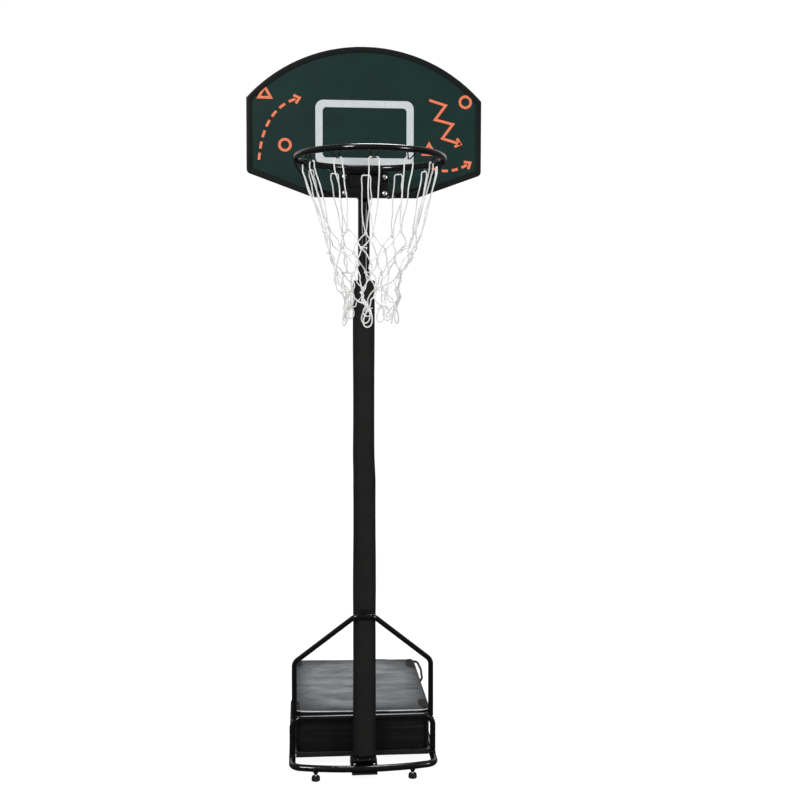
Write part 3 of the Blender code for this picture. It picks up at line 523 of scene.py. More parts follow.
def at_y(loop, y):
    """Points (x, z) as (x, y, z), at one distance y behind the pole's axis."""
    return np.insert(loop, 1, y, axis=1) + POLE


OUTLINE = board_outline()
print("outline has", len(OUTLINE), "points and is", round(float(np.ptp(OUTLINE[:, 0])), 3), "m wide")

# %% Edging, target and board finish
# The section's points are (inset from the edge, distance behind the pole's axis), in millimetres.
lip = 17.2
c_section = mm((0.4, -47.8), (0.0, -46.6), (0.0, -39.4), (0.4, -38.2), (1.4, -37.2), (2.8, -37.0),
               (lip - 1.6, -37.0), (lip - 0.4, -37.5), (lip, -38.6), (lip, -39.7), (2.2, -39.7),
               (2.2, -46.3), (lip, -46.3), (lip, -47.4), (lip - 0.4, -48.5), (lip - 1.6, -49.0),
               (2.8, -49.0), (1.4, -48.8))
edge = np.stack([at_y(OUTLINE + inset * mitres(OUTLINE), y) for inset, y in c_section])
local_y = edge[..., 1] - POLE[1]
in_notch = (np.abs(edge[..., 0]) < PLATE_HALF + 0.0004) & (edge[..., 2] < BOARD_BOTTOM + 0.03)
thinned = np.clip(local_y, BOARD_FACE + 0.0001, BOARD_BACK - 0.0001)
edge[..., 1] = np.where(in_notch, thinned, local_y) + POLE[1]
piece("board_edging", [(edge, True, True)], (edging, "black_moulding"), "mast", ["board_rim"])


def rounded_loop(width, height, bottom, radius, steps=12):
    """A rectangle with quarter circles for corners, anticlockwise, centred on x = 0, as (x, z)."""
    quarters = []
    for sign, top, start in ((1, 0, -np.pi / 2), (1, 1, 0.0), (-1, 1, np.pi / 2), (-1, 0, np.pi)):
        angle = start + np.linspace(0, np.pi / 2, steps + 1)
        centre = [sign * (width / 2 - radius), bottom + radius + top * (height - 2 * radius)]
        quarters.append(centre + radius * np.stack([np.cos(angle), np.sin(angle)], -1))
    return np.concatenate(quarters)


outer = rounded_loop(0.297, 0.193, 1.9005, 0.0235)
inner = rounded_loop(0.254, 0.150, 1.9220, 0.0115)
film = np.stack([at_y(loop, y) for loop, y in
                 ((outer, -0.0466), (outer, -0.0461), (inner, -0.0461), (inner, -0.0466))])
piece("target_print", [(film, True, True)], (white_ink, "white_film"), "mast", ["target_frame"])

# The sheet keeps its measured shape and only gets its finish.
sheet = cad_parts["backboard"].data
sheet.materials.clear()
sheet.materials.append(green_sheet)
print("target's width and height, metres:", np.ptp(outer, axis=0).round(3))

# %% [markdown]
# ## Coaching marks
# Either side of the target a few strokes are printed in orange, as a coach draws on a board: two
# rings for players, two triangles for cones, a dashed run that ends in an arrow, and a zigzag
# dribble. Each is a flat ribbon 0.2 mm thick, mitred at its corners so that its width stays even.

# %% Strokes, dashes and arrows
INK_FRONT, INK_BACK = -0.0463, -0.0461
STROKE = 0.0078


def stroke(points, closed=False):
    """A flat ribbon along (x, z) points, half its width to each side."""
    points = np.asarray(points, float)
    reach = STROKE / 2 * mitres(points, closed)
    left, right_side = points + reach, points - reach
    band = np.stack([at_y(left, INK_FRONT), at_y(right_side, INK_FRONT), at_y(right_side, INK_BACK),
                     at_y(left, INK_BACK)], 1)
    return (band, True, closed)


def drawn_round(x, z, radius, angle):
    """A closed stroke through points round a centre: many for a ring, three for a triangle."""
    return stroke(np.stack([x + radius * np.cos(angle), z + radius * np.sin(angle)], -1), True)


def dashed(points, dashes, fill=0.62):
    """Separate strokes along a smooth path: each dash fills the same share of its step."""
    length = lengths(points)
    step = length[-1] / dashes
    marks = [np.linspace(k * step, (k + fill) * step, 5) for k in range(dashes)]
    return [stroke(np.stack([np.interp(mark, length, way) for way in points.T], -1))
            for mark in marks]


def arrow_head(tip, direction, size=0.020):
    """Two legs that leave the tip backwards at 40 degrees to its direction."""
    legs = [np.array([[math.cos(a), -math.sin(a)], [math.sin(a), math.cos(a)]]) @ direction * size
            for a in np.radians([140, -140])]
    return stroke([tip + legs[0], tip, tip + legs[1]])


def bent(start, pull, end):
    """Forty points of the curve (1 − t)² · start + 2t(1 − t) · pull + t² · end."""
    t = np.linspace(0, 1, 40)[:, None]
    return (1 - t) ** 2 * start + 2 * t * (1 - t) * pull + t ** 2 * end


print("a stroke is", 1000 * STROKE, "mm wide")

# %% The coaching marks
run = bent(*np.array([[-0.318, 1.912], [-0.305, 2.070], [-0.196, 2.098]]))
cut_in = bent(*np.array([[0.205, 1.895], [0.262, 1.872], [0.322, 1.912]]))
dribble = [[0.196, 2.098], [0.246, 2.083], [0.214, 2.040], [0.268, 2.027], [0.236, 1.984],
           [0.292, 1.968]]
cone = np.radians([90, 210, 330])
marks = [drawn_round(-0.240, 1.958, 0.0165, circle(48)), drawn_round(-0.300, 2.108, 0.021, cone),
         drawn_round(0.306, 2.094, 0.0165, circle(48)), drawn_round(0.196, 1.946, 0.021, cone),
         stroke(dribble),
         *(arrow_head(line[-1], unit(line[-1] - line[-4])) for line in (run, cut_in)),
         arrow_head(np.array(dribble[-1]), unit(np.array([0.056, -0.016])))]
marks += dashed(run, 7) + dashed(cut_in, 4)
piece("coaching_marks", marks, (orange_ink, "green_board"), "mast", smooth=20)
print(len(marks), "strokes are printed")

# %% [markdown]
# ## Ring, hooks and braces
# The ring is a bent tube, and a ring that is swept round a ring is a torus. Twelve wire hooks are
# welded under it for the net. A weld is a small lumpy bead, and one is laid wherever two parts meet.

# %% Ring with its hooks
HOOKS = 12
HOOK_DROP = 0.028
HOOK_RADIUS = 0.187
HOOK_FOOT = 0.0145           # half the distance between a hook's two feet


def on_ring(angle, radius, height):
    """Points round the ring's axis; angle 0 is the front. Works on whole arrays."""
    angle, radius, height = np.broadcast_arrays(angle, radius, height)
    return RING + np.stack([radius * np.sin(angle), -radius * np.cos(angle), height], -1)


def bead(path, size, up, seed, closed=True):
    """A weld: a thin tube whose radius swells and shrinks along the path, as its drops froze."""
    count = len(path)
    drops = np.sin(np.arange(count) * 2.1 + seed) + 0.6 * np.sin(np.arange(count) * 0.9 + 2 * seed)
    return rod(path, size * (1 + 0.16 * drops), 8, up, closed)


ring_grids = [rod(on_ring(circle(180), RING_RADIUS, 0.0), RING_TUBE, 24, UP, True)]
for k in range(HOOKS):
    middle = circle(HOOKS)[k]
    ends = [on_ring(middle + side * HOOK_FOOT / RING_RADIUS, RING_RADIUS - 0.003,
                    -RING_TUBE + 0.0022) for side in (-1, 1)]
    wire = rounded([ends[0], on_ring(middle, HOOK_RADIUS, -HOOK_DROP), ends[1]], [0.005], 8)
    ring_grids.append(rod(spaced(wire, 0.004), 0.0019, 10, on_ring(middle, 1.0, 0.0) - RING))
    for end in ends:
        turn = circle(10)[:, None]
        inwards = np.array([math.sin(middle), -math.cos(middle), 0.15])
        foot = end + 0.0021 * (np.cos(turn) * flat(middle) + np.sin(turn) * inwards)
        ring_grids.append(bead(foot, 0.0012, UP, k))
ring_piece = piece("ring_and_hooks", ring_grids, ENAMEL, "mast", ["hoop_ring"])
print("ring has", len(ring_piece.data.polygons), "faces")

# %% Brace rods
PLATE_FACE = -0.0493         # front of the plate
rod_radius = 0.0045
rod_y = PLATE_FACE - 0.0003 - rod_radius
rod_z = RING[2] - RING_TUBE - rod_radius - 0.0003
for side, sign in SIDES:
    corners = np.array([[0.066, rod_y, 1.8034], [0.098, rod_y - 0.006, 1.8064],
                        [0.170, rod_y - 0.095, 1.8294], [RING_RADIUS, -0.264, rod_z],
                        [RING_RADIUS, -0.326, rod_z]]) * [sign, 1, 1]
    path = route(corners, [0.030, 0.060, 0.050], 12, 0.006)
    taper = np.full(len(path), rod_radius)
    taper[[0, -1]] = rod_radius * 0.8
    turn = circle(10)
    hem = rod_radius * 1.02 * np.stack([np.cos(turn), 0.4 * np.sin(turn), np.sin(turn)], -1)
    run_up = path[-9:-1] + [-sign * 0.0030, 0, 0.0034]
    grids = [rod(path, taper, 18, UP), bead(path[1] + hem, 0.0010, BACK, 1.0),
             bead(run_up, 0.0022, UP, 2.0, False)]
    piece(f"brace_{side}", grids, ENAMEL, "mast", [f"ring_brace_{side}"])
print("braces reach", round(float(RING[1] - path[:, 1].min()), 3), "m past the ring's middle")

# %% [markdown]
# ## Plates
# The plates are pressed steel, so their edges are not knife sharp. A measured plate is copied, its
# loose triangles are merged back into flat faces, and a narrow bevel gives each edge the small
# radius that catches the light.

# %% Plates with softened edges
def softened(node, body, width, finish):
    """A copy of a measured plate with rounded edges, which stands for it."""
    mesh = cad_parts[node].data.copy()
    cleaned(mesh, True)
    mesh.materials.clear()
    mesh.materials.append(finish)
    mesh.polygons.foreach_set("material_index", [0] * len(mesh.polygons))
    made = linked(f"{node}_pressed", mesh)
    rounded_mesh = modified(made, "BEVEL", width=width, segments=2, limit_method="ANGLE",
                            angle_limit=math.radians(50), use_clamp_overlap=True)
    rounded_mesh.shade_smooth()
    rounded_mesh.set_sharp_from_angle(angle=math.radians(32))
    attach(made, body)
    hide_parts(node)
    return made


plates = [("rim_bracket", "mast", 0.0007, enamel), ("rear_bracket", "mast", 0.0007, enamel),
          ("pole_shoe", "base", 0.0009, powder), ("bow_saddle", "base", 0.0006, powder)]
plates += [(f"bag_slat_{k}", "base", 0.0008, powder) for k in (1, 2, 3)]
for plate in plates:
    made = softened(*plate)
    print(made.name, len(made.data.polygons), "faces")

# %% [markdown]
# ## Bolts and nuts
# A carriage bolt has a plain dome. A nut is a hexagon whose corners were turned down to a cone, so at
# each height it reaches out to the smaller of two radii: the flat's and the cone's.

# %% Turned heads and six-sided nuts
def nut(across, bore, height, axis, place):
    """Rings of (cone radius, height), each cut to a hexagon: apothem / cos(angle from the flat)."""
    angle = circle(72)
    from_flat = (angle + np.pi / 6) % (np.pi / 3) - np.pi / 6
    side = across / 2 / np.cos(from_flat)
    cone = [(across * 0.49, 0.0), (across * 0.53, across * 0.030), (across * 0.60, across * 0.075)]
    cone += [(radius, height - z) for radius, z in reversed(cone)]
    rows = [np.minimum(side, radius)[:, None] * flat(angle) + z * UP
            for radius, z in [(bore, 0.0), *cone, (bore, height)]]
    return (along(np.stack(rows), axis, place), True, True)


def head_profile(radius, rise, shank, length):
    """A bolt's dome and shank: the dome is a quarter ellipse, rise · sin and radius · cos."""
    dome = [(radius * math.cos(a), -rise * math.sin(a)) for a in np.linspace(np.pi / 2, 0, 9)[1:]]
    return np.array([(0.0, -rise), *dome, (radius, 0.0), (shank, 0.0), (shank, length - 0.0006),
                     (shank - 0.0006, length), (0.0, length)])


def turned_piece(name, profile, place, axis, coat, body, replaces, sides=48, closed=False):
    """A single turned part."""
    grid = lathe(profile, sides, place, axis)
    return piece(name, [(grid, True, closed)], coat, body, replaces, 35)


print("a nut has", nut(0.010, 0.003, 0.005, "Z", 0.0)[0].size // 3, "points")

# %% Every bolt, nut and stud
def bolt_and_nut(kind, node, place, body, axis, head, head_at, size, nut_at, coat=ZINC, way=1):
    """A bolt and its nut. head is what head_profile needs, and size is the nut's width, bore and
    height. way is -1 where the bolt points against its axis."""
    turned_piece(f"{kind}_bolt_{place}", head_profile(*head) * [1, way], POLE + head_at, axis, coat,
                 body, [f"{node}_bolt_{place}"])
    piece(f"{kind}_nut_{place}", [nut(*size, axis, POLE + nut_at)], ZINC, body,
          [f"{node}_nut_{place}"], 30)


for row, z in (("lower", 1.8160), ("upper", 1.8645)):
    for side, sign in SIDES:
        x = sign * 0.0609
        bolt_and_nut("plate", "bracket", f"{row}_{side}", "mast", "Y", mm(8.2, 3.4, 3.9, 23.5),
                     [x, PLATE_FACE - 0.0003, z], mm(13.0, 4.2, 6.0), [x, -0.0364, z])
for row, z in (("lower", 1.8240), ("upper", 1.8620)):
    bolt_and_nut("cross", "mast", row, "mast", "X", mm(7.5, 4.4, 3.0, 51.5), [-0.0221, 0.0, z],
                 mm(10.0, 3.2, 5.0), [0.0221, 0.0, z])
for side, x in (("left", -0.0195), ("right", 0.0185)):
    bolt_and_nut("foot", "shoe", side, "base", "Z", mm(6.6, 5.1, 3.3, 45.3), [x, -0.031, 0.0578],
                 mm(10.0, 3.6, 5.0), [x, -0.031, 0.0187], ENAMEL, -1)
for side, x, tip in (("left", -0.0311, 10.0), ("right", 0.0311, 19.0)):
    stud = mm((0.0, 50.0), (1.6, 49.9), (2.8, 49.4), (3.7, 48.4), (4.0, 47.2), (4.0, 27.7),
              (3.7, 27.3), (2.5, 27.3), (2.5, tip + 5.0), (0.4, tip + 0.3), (0.0, tip))
    turned_piece(f"bow_stud_{side}_turned", stud, POLE + [x, -0.0452, 0.0], "Z", ZINC, "base",
                 [f"bow_stud_{side}"])
turned_piece("stay_bolt_turned", head_profile(*mm(5.2, 4.6, 3.0, 64.7)) * [1, -1],
             POLE + [0.0, 0.0288, STAY_Z], "Y", ZINC, "base", ["stay_bolt"])
print("stay bolt is", STAY_Z, "m up")

# %% [markdown]
# ## Mast and pole
# Two steel tubes, one inside the other. A tube's wall is a thin closed loop turned round the axis:
# up the outside, over the rolled rim, down the bore. The collar on the pole's top is a moulding.

# %% Tubes, collar and cap
def wall_profile(radius, wall, low, high):
    """Outside up, a half-round rim, bore down, and a half-round rim below."""
    middle, half = radius - wall / 2, wall / 2
    rim = half * np.array([(math.cos(a), math.sin(a)) for a in np.linspace(0, np.pi, 7)])
    return np.concatenate([[middle, high - half] + rim, [middle, low + half] - rim])


COLLAR_TOP, MAST_TOP = 1.5505, 1.905
plug = mm((0.0, 1895.0), (15.8, 1895.0), (16.5, 1896.5), (16.5, 1905.0), (18.3, 1905.3),
          (18.5, 1905.8), (18.3, 1907.0), (17.5, 1908.5), (15.5, 1909.8), (11.0, 1910.3),
          (0.0, 1910.5))
collar = mm((20.8, 1515.0), (23.4, 1515.0), (23.7, 1515.4), (23.7, 1519.0), (23.1, 1519.5),
            (23.1, 1523.0), (23.7, 1523.5), (23.7, 1548.0), (23.5, 1549.2), (22.7, 1550.3),
            (21.5, 1550.5), (19.2, 1550.5), (18.8, 1550.0), (18.8, 1545.3), (20.8, 1545.3))
inner_tube = wall_profile(0.0185, 0.0015, 1.050, MAST_TOP)
outer_tube = wall_profile(0.0205, 0.0015, 0.0578, 1.545)
for name, profile, coat, body, node, closed in (
        ("mast_steel", inner_tube, ENAMEL, "mast", "mast_tube", True),
        ("pole_steel", outer_tube, ENAMEL, "base", "pole_tube", True),
        ("mast_plug", plug, PLASTIC, "mast", "mast_cap", False),
        ("guide_collar", collar, PLASTIC, "base", "pole_collar", True)):
    turned_piece(name, profile, POLE, "Z", coat, body, [node], 64, closed)
print("mast stands", round(MAST_TOP - COLLAR_TOP, 3), "m out of the collar")

# %% [markdown]
# ## Floor frame, hoop and stay
# Bent tube has no facets: its bends are true arcs, so the path gets a point every few millimetres.
# The floor tube's bow is a parabola. The hoop stands on the rails and the stay on the hoop's
# shoulders. Where a tube stands on a round tube, the weld's path rises and falls: its height is the
# lower tube's own half circle, the square root of radius² − offset².

# %% Bent tubes
FRAME_Z = 0.038
TUBE = 0.0105
HOOP_TUBE = 0.009
SIDE_RAIL = 0.2249
FRAME_BACK = 0.655
HOOP_LINE = 0.0445           # how far the hoop stands behind the pole
HOOP_LOW, HOOP_HIGH = 0.0432, 0.167
STAY_FOOT = 0.218            # how far out the stay stands on the hoop


def bow_y(x):
    """The bow's parabola: −61 mm in the middle, 16 mm further back at 163 mm out."""
    return -0.061 + 0.016 * (x / 0.163) ** 2


bow_x = np.linspace(0, 0.163, 21)
bow = np.stack([bow_x, bow_y(bow_x), np.full(21, FRAME_Z)], -1)
corner = rounded([bow[-1], [SIDE_RAIL, -0.030, FRAME_Z], [SIDE_RAIL, FRAME_BACK, FRAME_Z],
                  [0, FRAME_BACK, FRAME_Z]], [0.036, 0.060], 12)
half_frame = spaced(np.concatenate([bow, corner[1:]]), 0.008)
floor_path = np.concatenate([half_frame, half_frame[-2:0:-1] * [-1, 1, 1]]) + POLE
piece("floor_tube", [rod(floor_path, TUBE, 32, UP, True)], ENAMEL, "base", ["floor_frame"])

turn = circle(36)
hoop_corners = [[sign * SIDE_RAIL, HOOP_LINE, z] for sign, z in
                ((-1, HOOP_LOW), (-1, HOOP_HIGH), (1, HOOP_HIGH), (1, HOOP_LOW))]
hoop_path = route(hoop_corners, [0.030] * 2, 14, 0.008)
hoop_grids = [rod(hoop_path, HOOP_TUBE, 32, BACK)]
seam_x, seam_y = 0.0094 * np.cos(turn), 0.0094 * np.sin(turn)
for sign in (-1, 1):
    seam = np.stack([sign * SIDE_RAIL + seam_x, HOOP_LINE + seam_y,
                     FRAME_Z + 0.0006 + np.sqrt(0.0111 ** 2 - seam_x ** 2)], -1)
    hoop_grids.append(bead(seam + POLE, 0.0017, UP, sign))
piece("bag_hoop_tube", hoop_grids, ENAMEL, "base", ["bag_hoop"])

stay_half = [[-STAY_FOOT, HOOP_LINE, 0.1665], [-STAY_FOOT, 0.050, 0.347], [-0.030, -0.0372, STAY_Z]]
stay_corners = stay_half + [[-x, y, z] for x, y, z in reversed(stay_half)]
stay_path = route(stay_corners, [0.030] * 4, 12, 0.008)
stay_grids = [rod(stay_path, 0.0083, 28, BACK + [0, 0, 0.3])]
seam_x, seam_y = 0.0087 * np.cos(turn), 0.0087 * np.sin(turn)
for sign in (-1, 1):
    x = sign * STAY_FOOT + seam_x
    reach = 0.030 + np.sqrt(0.0093 ** 2 - seam_y ** 2)
    height = 0.137 + np.sqrt(reach ** 2 - (np.abs(x) - 0.1949) ** 2)
    seam = np.stack([x, HOOP_LINE + seam_y, height + 0.0004], -1)
    stay_grids.append(bead(seam + POLE, 0.0016, UP, 3 + sign))
piece("stay_tube", stay_grids, ENAMEL, "base", ["stay"])
print("floor tube is", round(float(lengths(floor_path)[-1]), 2), "m long")

# %% Feet
THREAD_PITCH = 0.00125
FOOT_OUT, REAR_FOOT_OUT = 0.1516, 0.120


def threaded(radius, wave, height):
    """The profile of a thread: a radius that waves once for each pitch along its heights."""
    return np.stack([radius + wave * np.sin(2 * np.pi * height / THREAD_PITCH), height], -1)


boss = mm((4.3, 20.7), (5.2, 20.5), (6.0, 21.6), (8.3, 26.8), (8.6, 28.0), (8.6, 32.5), (4.3, 32.5))
stem = threaded(0.00385, 0.00028, np.linspace(0.0063, 0.0266, 60))
stem[stem[:, 1] < 0.0140, 0] = 0.0050
stem = np.concatenate([[(0.0, 0.0063)], stem, [(0.0, 0.0266)]])
pad = mm((0.0, 0.0), (11.8, 0.0), (12.8, 0.4), (13.4, 1.4), (13.5, 3.0), (13.1, 10.5), (12.6, 12.8),
         (11.2, 14.6), (9.0, 15.4), (6.2, 15.5), (5.3, 15.0), (5.3, 6.0), (0.0, 6.0))
rear = mm((0.0, 0.0), (13.2, 0.0), (14.4, 0.5), (14.9, 2.0), (14.0, 18.0), (13.1, 29.0))
for side, sign in SIDES:
    at = POLE + [sign * FOOT_OUT, bow_y(FOOT_OUT), 0.0]
    for name, profile, coat, body, sides in (("boss", boss, ENAMEL, "base", 40),
                                             ("stem", stem, ZINC, f"foot_{side}", 32),
                                             ("pad", pad, RUBBER, f"foot_{side}", 48)):
        turned_piece(f"levelling_{name}_{side}", profile, at, "Z", coat, body,
                     [f"foot_{name}_{side}"], sides, name == "boss")
    grid = lathe(rear, 48, POLE + [sign * REAR_FOOT_OUT, FRAME_BACK, 0.0])
    saddle_y = np.clip(np.abs(grid[-1, :, 1] - POLE[1] - FRAME_BACK), 0, 0.0107)
    grid[-1, :, 2] = np.minimum(FRAME_Z - np.sqrt(0.0109 ** 2 - saddle_y ** 2) + 0.0027, 0.0355)
    piece(f"rear_rubber_{side}", [(grid, True, False)], RUBBER, "base", [f"rear_foot_{side}"])
print("front feet stand at", at.round(4))

# %% Clamp screw with its knob
screw_at = [0.0, POLE[1], KNOB_Z]
boss = mm((4.3, 20.8), (9.0, 20.8), (9.0, 32.8), (8.7, 33.6), (8.0, 34.0), (4.3, 34.0))
tip = mm((0.0, 18.8), (3.3, 18.8), (3.6, 19.1), (3.6, 20.4), (0.0, 20.4))
thread = threaded(0.00382, 0.00016, np.linspace(0.0218, 0.0460, 78))
screw = np.concatenate([mm((0.0, 20.7), (3.4, 20.7)), thread, mm((0.0, 46.0))])
turned_piece("clamp_boss_turned", boss, screw_at, "Y", ZINC, "base", ["clamp_boss"], 40, True)
turned_piece("clamp_tip_turned", tip, screw_at, "Y", ZINC, "clamp_tip", ["clamp_pad"], 40)
turned_piece("clamp_screw_turned", screw, screw_at, "Y", ZINC, "clamp_handle", ["clamp_screw"], 32)
# The knob's rows are (distance along the screw, share of the six-lobed outline).
knob = np.array([(0.0365, 0.05), (0.0365, 0.60), (0.0369, 0.66), (0.0380, 0.78), (0.0394, 0.93),
                 (0.0412, 0.995), (0.0430, 1.0), (0.0485, 1.0), (0.0506, 0.985), (0.0522, 0.94),
                 (0.0533, 0.86), (0.0538, 0.74), (0.0534, 0.62), (0.0534, 0.10)])[..., None, None]
lobes = 0.0163 + 0.0020 * np.cos(6 * circle(96))
rows = knob[:, 1] * lobes[:, None] * flat(circle(96))[:, [0, 2, 1]] + knob[:, 0] * BACK
piece("hand_knob", [(rows + screw_at, True, False)], PLASTIC, "clamp_handle", ["clamp_knob"])
print("knob is", round(2 * float(lobes.max()) * 1000, 1), "mm across")

# %% [markdown]
# ## The net
# The net is one long braided cord, knotted. From each hook hangs a flat loop, whose two legs come
# together at a knot well below the ring. Under it the cord runs in rows of diamonds that get smaller
# towards the neck, and ends in drooping loops. Nobody ties such a net evenly, so every knot is
# shifted a little by seeded chance. All cords of a kind are worked out together, as one array.

# %% Cord finish
# Braided polyester: white strands that cross at a slant every 1.6 mm, drawn at 6 mm so that they
# show. The piece's own UV map runs in metres along and round the cord.
def braid(tree):
    """The height of a braid: the higher of two waves that slant 50 degrees each way."""
    along_cord = add_node(tree, "UVMap", uv_map="metres")
    strands = []
    for slant in (50, -50):
        turned_uv = add_node(tree, "Mapping",
                             {"Vector": along_cord, "Rotation": (0, 0, math.radians(slant)),
                              "Scale": (52.0, 52.0, 1.0)})
        strands.append(add_node(tree, "TexWave",
                                {"Vector": turned_uv, "Scale": 1.0, "Distortion": 0.4}))
    return add_node(tree, "Math", dict(enumerate(strands)), operation="MAXIMUM")


cord_finish = surface("braided white polyester cord", ["#f3f4f2", "#dcdddb", (30, 0.0, 1.0, 4.0)],
                      0.72, 0.3, braid, 0.5, 0.0004, **{"Sheen Weight": 0.2})
print("net uses", cord_finish.name)

# %% Cords through points
CORD = 0.0019
chance = np.random.default_rng(11)


def flowing(points, steps=6):
    """Catmull-Rom curves through batches of points (n, P, 3): on each span the curve is half of
    2b + (c − a)t + (2a − 5b + 4c − d)t² + (3b − a − 3c + d)t³ for its four nearest points."""
    first = 2 * points[:, :1] - points[:, 1:2]
    last = 2 * points[:, -1:] - points[:, -2:-1]
    p = np.concatenate([first, points, last], 1)
    a, b, c, d = p[:, :-3, None], p[:, 1:-2, None], p[:, 2:-1, None], p[:, 3:, None]
    t = np.linspace(0, 1, steps, endpoint=False)[:, None]
    spans = 0.5 * (2 * b + (c - a) * t + (2 * a - 5 * b + 4 * c - d) * t ** 2
                   + (3 * b - a - 3 * c + d) * t ** 3)
    return np.concatenate([spans.reshape(len(points), -1, 3), points[:, -1:]], 1)


def cords(points, radius=CORD, steps=6):
    """Batches of cords as separate closed tubes. The side vector starts from the level way out from
    the ring's axis, so it never lies along a hanging cord."""
    path = flowing(points, steps)
    outwards = (path.mean(1, keepdims=True) - RING) * [1, 1, 0]
    outwards = unit(outwards) + [0.013, 0.007, 0.0]
    skins = tube(path, radius, 8, np.broadcast_to(outwards, path.shape))
    return [(skin, True, False) for skin in skins]


print("cord is", 2000 * CORD, "mm thick")

# %% Knots and legs
hook_angle = circle(HOOKS)
NET_ROWS = [(-0.205, 0.140), (-0.262, 0.113), (-0.316, 0.094), (-0.368, 0.081), (-0.415, 0.073)]


def knots_of(row):
    """Where the knots of a row are. Odd rows sit half a hook round. Chance shifts every knot."""
    height, radius = NET_ROWS[row]
    angle = hook_angle + np.pi / HOOKS * (row % 2) + chance.normal(0, 0.05 + 0.03 * row, HOOKS)
    radius = radius * (1 + chance.normal(0, 0.05, HOOKS))
    return on_ring(angle, radius, height + chance.normal(0, 0.008, HOOKS))


knots = [knots_of(row) for row in range(len(NET_ROWS))]


def sagging(start, end, droop, bow, count=5):
    """A cord between knots: a straight line, less droop · 4t(1 − t), and bowed by chance."""
    t = np.linspace(0, 1, count)[:, None]
    straight = start[:, None] + (end - start)[:, None] * t
    hump = 4 * t * (1 - t)
    swing = chance.normal(0, bow, (len(start), 1, 3))
    swing = swing + chance.normal(0, bow * 0.5, (len(start), count, 3))
    return straight - UP * droop * hump + swing * hump


across = flat(hook_angle)
crown = on_ring(hook_angle, HOOK_RADIUS + 0.0005, -HOOK_DROP + 0.0040)
net_grids = []
half_loop = 0.0135 + chance.normal(0, 0.0012, HOOKS)[:, None]
shoulders = [crown + side * across * half_loop - UP * 0.004 for side in (-1, 1)]
near = across * half_loop * 0.75
bar = np.stack([shoulders[0] - UP * 0.012, shoulders[0] - UP * 0.002, crown - near + UP * 0.0008,
                crown + UP * 0.0012, crown + near + UP * 0.0008, shoulders[1] - UP * 0.002,
                shoulders[1] - UP * 0.012], 1)
net_grids += cords(bar)
for side, shoulder in zip((-1, 1), shoulders):
    start = shoulder - UP * 0.012
    t = np.array([0.0, 0.12, 0.34, 0.58, 0.80, 0.94, 1.0])[:, None]
    line = start[:, None] + (knots[0] - start)[:, None] * t
    spread_out = side * across[:, None] * half_loop[:, None] * ((1 - t ** 2.2) - (1 - t)) * 0.9
    wobble = chance.normal(0, 0.0022, (HOOKS, 7, 3)) * np.sin(np.pi * t)
    net_grids += cords(line + spread_out + wobble)
print("loops hang from the hooks, each about", round(2000 * float(np.mean(half_loop))), "mm wide")

# %% Diamonds, bottom loops and loose ends
for row in range(len(NET_ROWS) - 1):
    for shift in (0, 1) if row % 2 == 0 else (0, -1):
        net_grids += cords(sagging(knots[row], np.roll(knots[row + 1], shift, 0), 0.003, 0.0055))
low_row = len(NET_ROWS) - 1
lowest = knots[low_row]
loop_angle = hook_angle + np.pi / HOOKS * (low_row % 2)
reach_down = 0.040 + chance.uniform(-0.012, 0.012, HOOKS)[:, None]
side_way = flat(loop_angle)
tilt = chance.normal(0, 0.010, (HOOKS, 3)) * [1, 1, 0.2]
petal = [(0.0, 0.0), (0.28, 0.30), (0.40, 0.62), (0.30, 0.90), (0.0, 1.0)]
petal += [(-x, z) for x, z in petal[-2::-1]]
loops = np.stack([lowest + side_way * x * 0.030 - UP * z * reach_down + tilt * z
                  for x, z in petal], 1)
net_grids += cords(loops)
ends = []
for row in range(len(NET_ROWS)):
    picked = knots[row][chance.integers(0, HOOKS, 5 + 2 * row)]
    way = chance.normal(0, 1.0, picked.shape) * [1, 1, 0.5] - UP * 0.4
    reach = chance.uniform(0.010, 0.019, (len(picked), 1))
    curl = chance.normal(0, 0.003, picked.shape)
    tail = unit(way) * reach
    ends.append(np.stack([picked, picked + tail * 0.5 + curl, picked + tail], 1))
net_grids += cords(np.concatenate(ends), CORD * 0.85, 4)

# Each knot is an overhand knot, a trefoil: x = sin t + 2 sin 2t, y = cos t − 2 cos 2t and
# z = −1.2 sin 3t.
centres = np.concatenate(knots)
t = circle(24)
trefoil = 0.00145 * np.stack([np.sin(t) + 2 * np.sin(2 * t), np.cos(t) - 2 * np.cos(2 * t),
                              -1.2 * np.sin(3 * t)], -1)
spin = chance.uniform(0, 2 * np.pi, len(centres))
turned_x = flat(spin)
turned_y = 0.6 * flat(spin + np.pi / 2) + 0.8 * UP
turned_z = np.cross(turned_x, turned_y)
knot_paths = centres[:, None] + trefoil @ np.stack([turned_x, turned_y, turned_z], 1)
upward = np.broadcast_to(turned_z[:, None] + 0.013, knot_paths.shape)
net_grids += [(skin, True, True) for skin in tube(knot_paths, CORD * 0.95, 7, upward, True)]
net_piece = piece("corded_net", net_grids, (cord_finish, "net_cord"), "mast", ["net"], 60)
print("net has", len(net_grids), "lengths and knots, and", len(net_piece.data.polygons), "faces")

# %% [markdown]
# ## The padded sleeve
# The sleeve is foam in a coated cloth cover. It is a grid of heights and angles, worked out as one
# array: a radius that changes a little with height, soft dents from nine long sine waves, a press
# where the stay crosses its front, and a flap down its back where the cover closes.

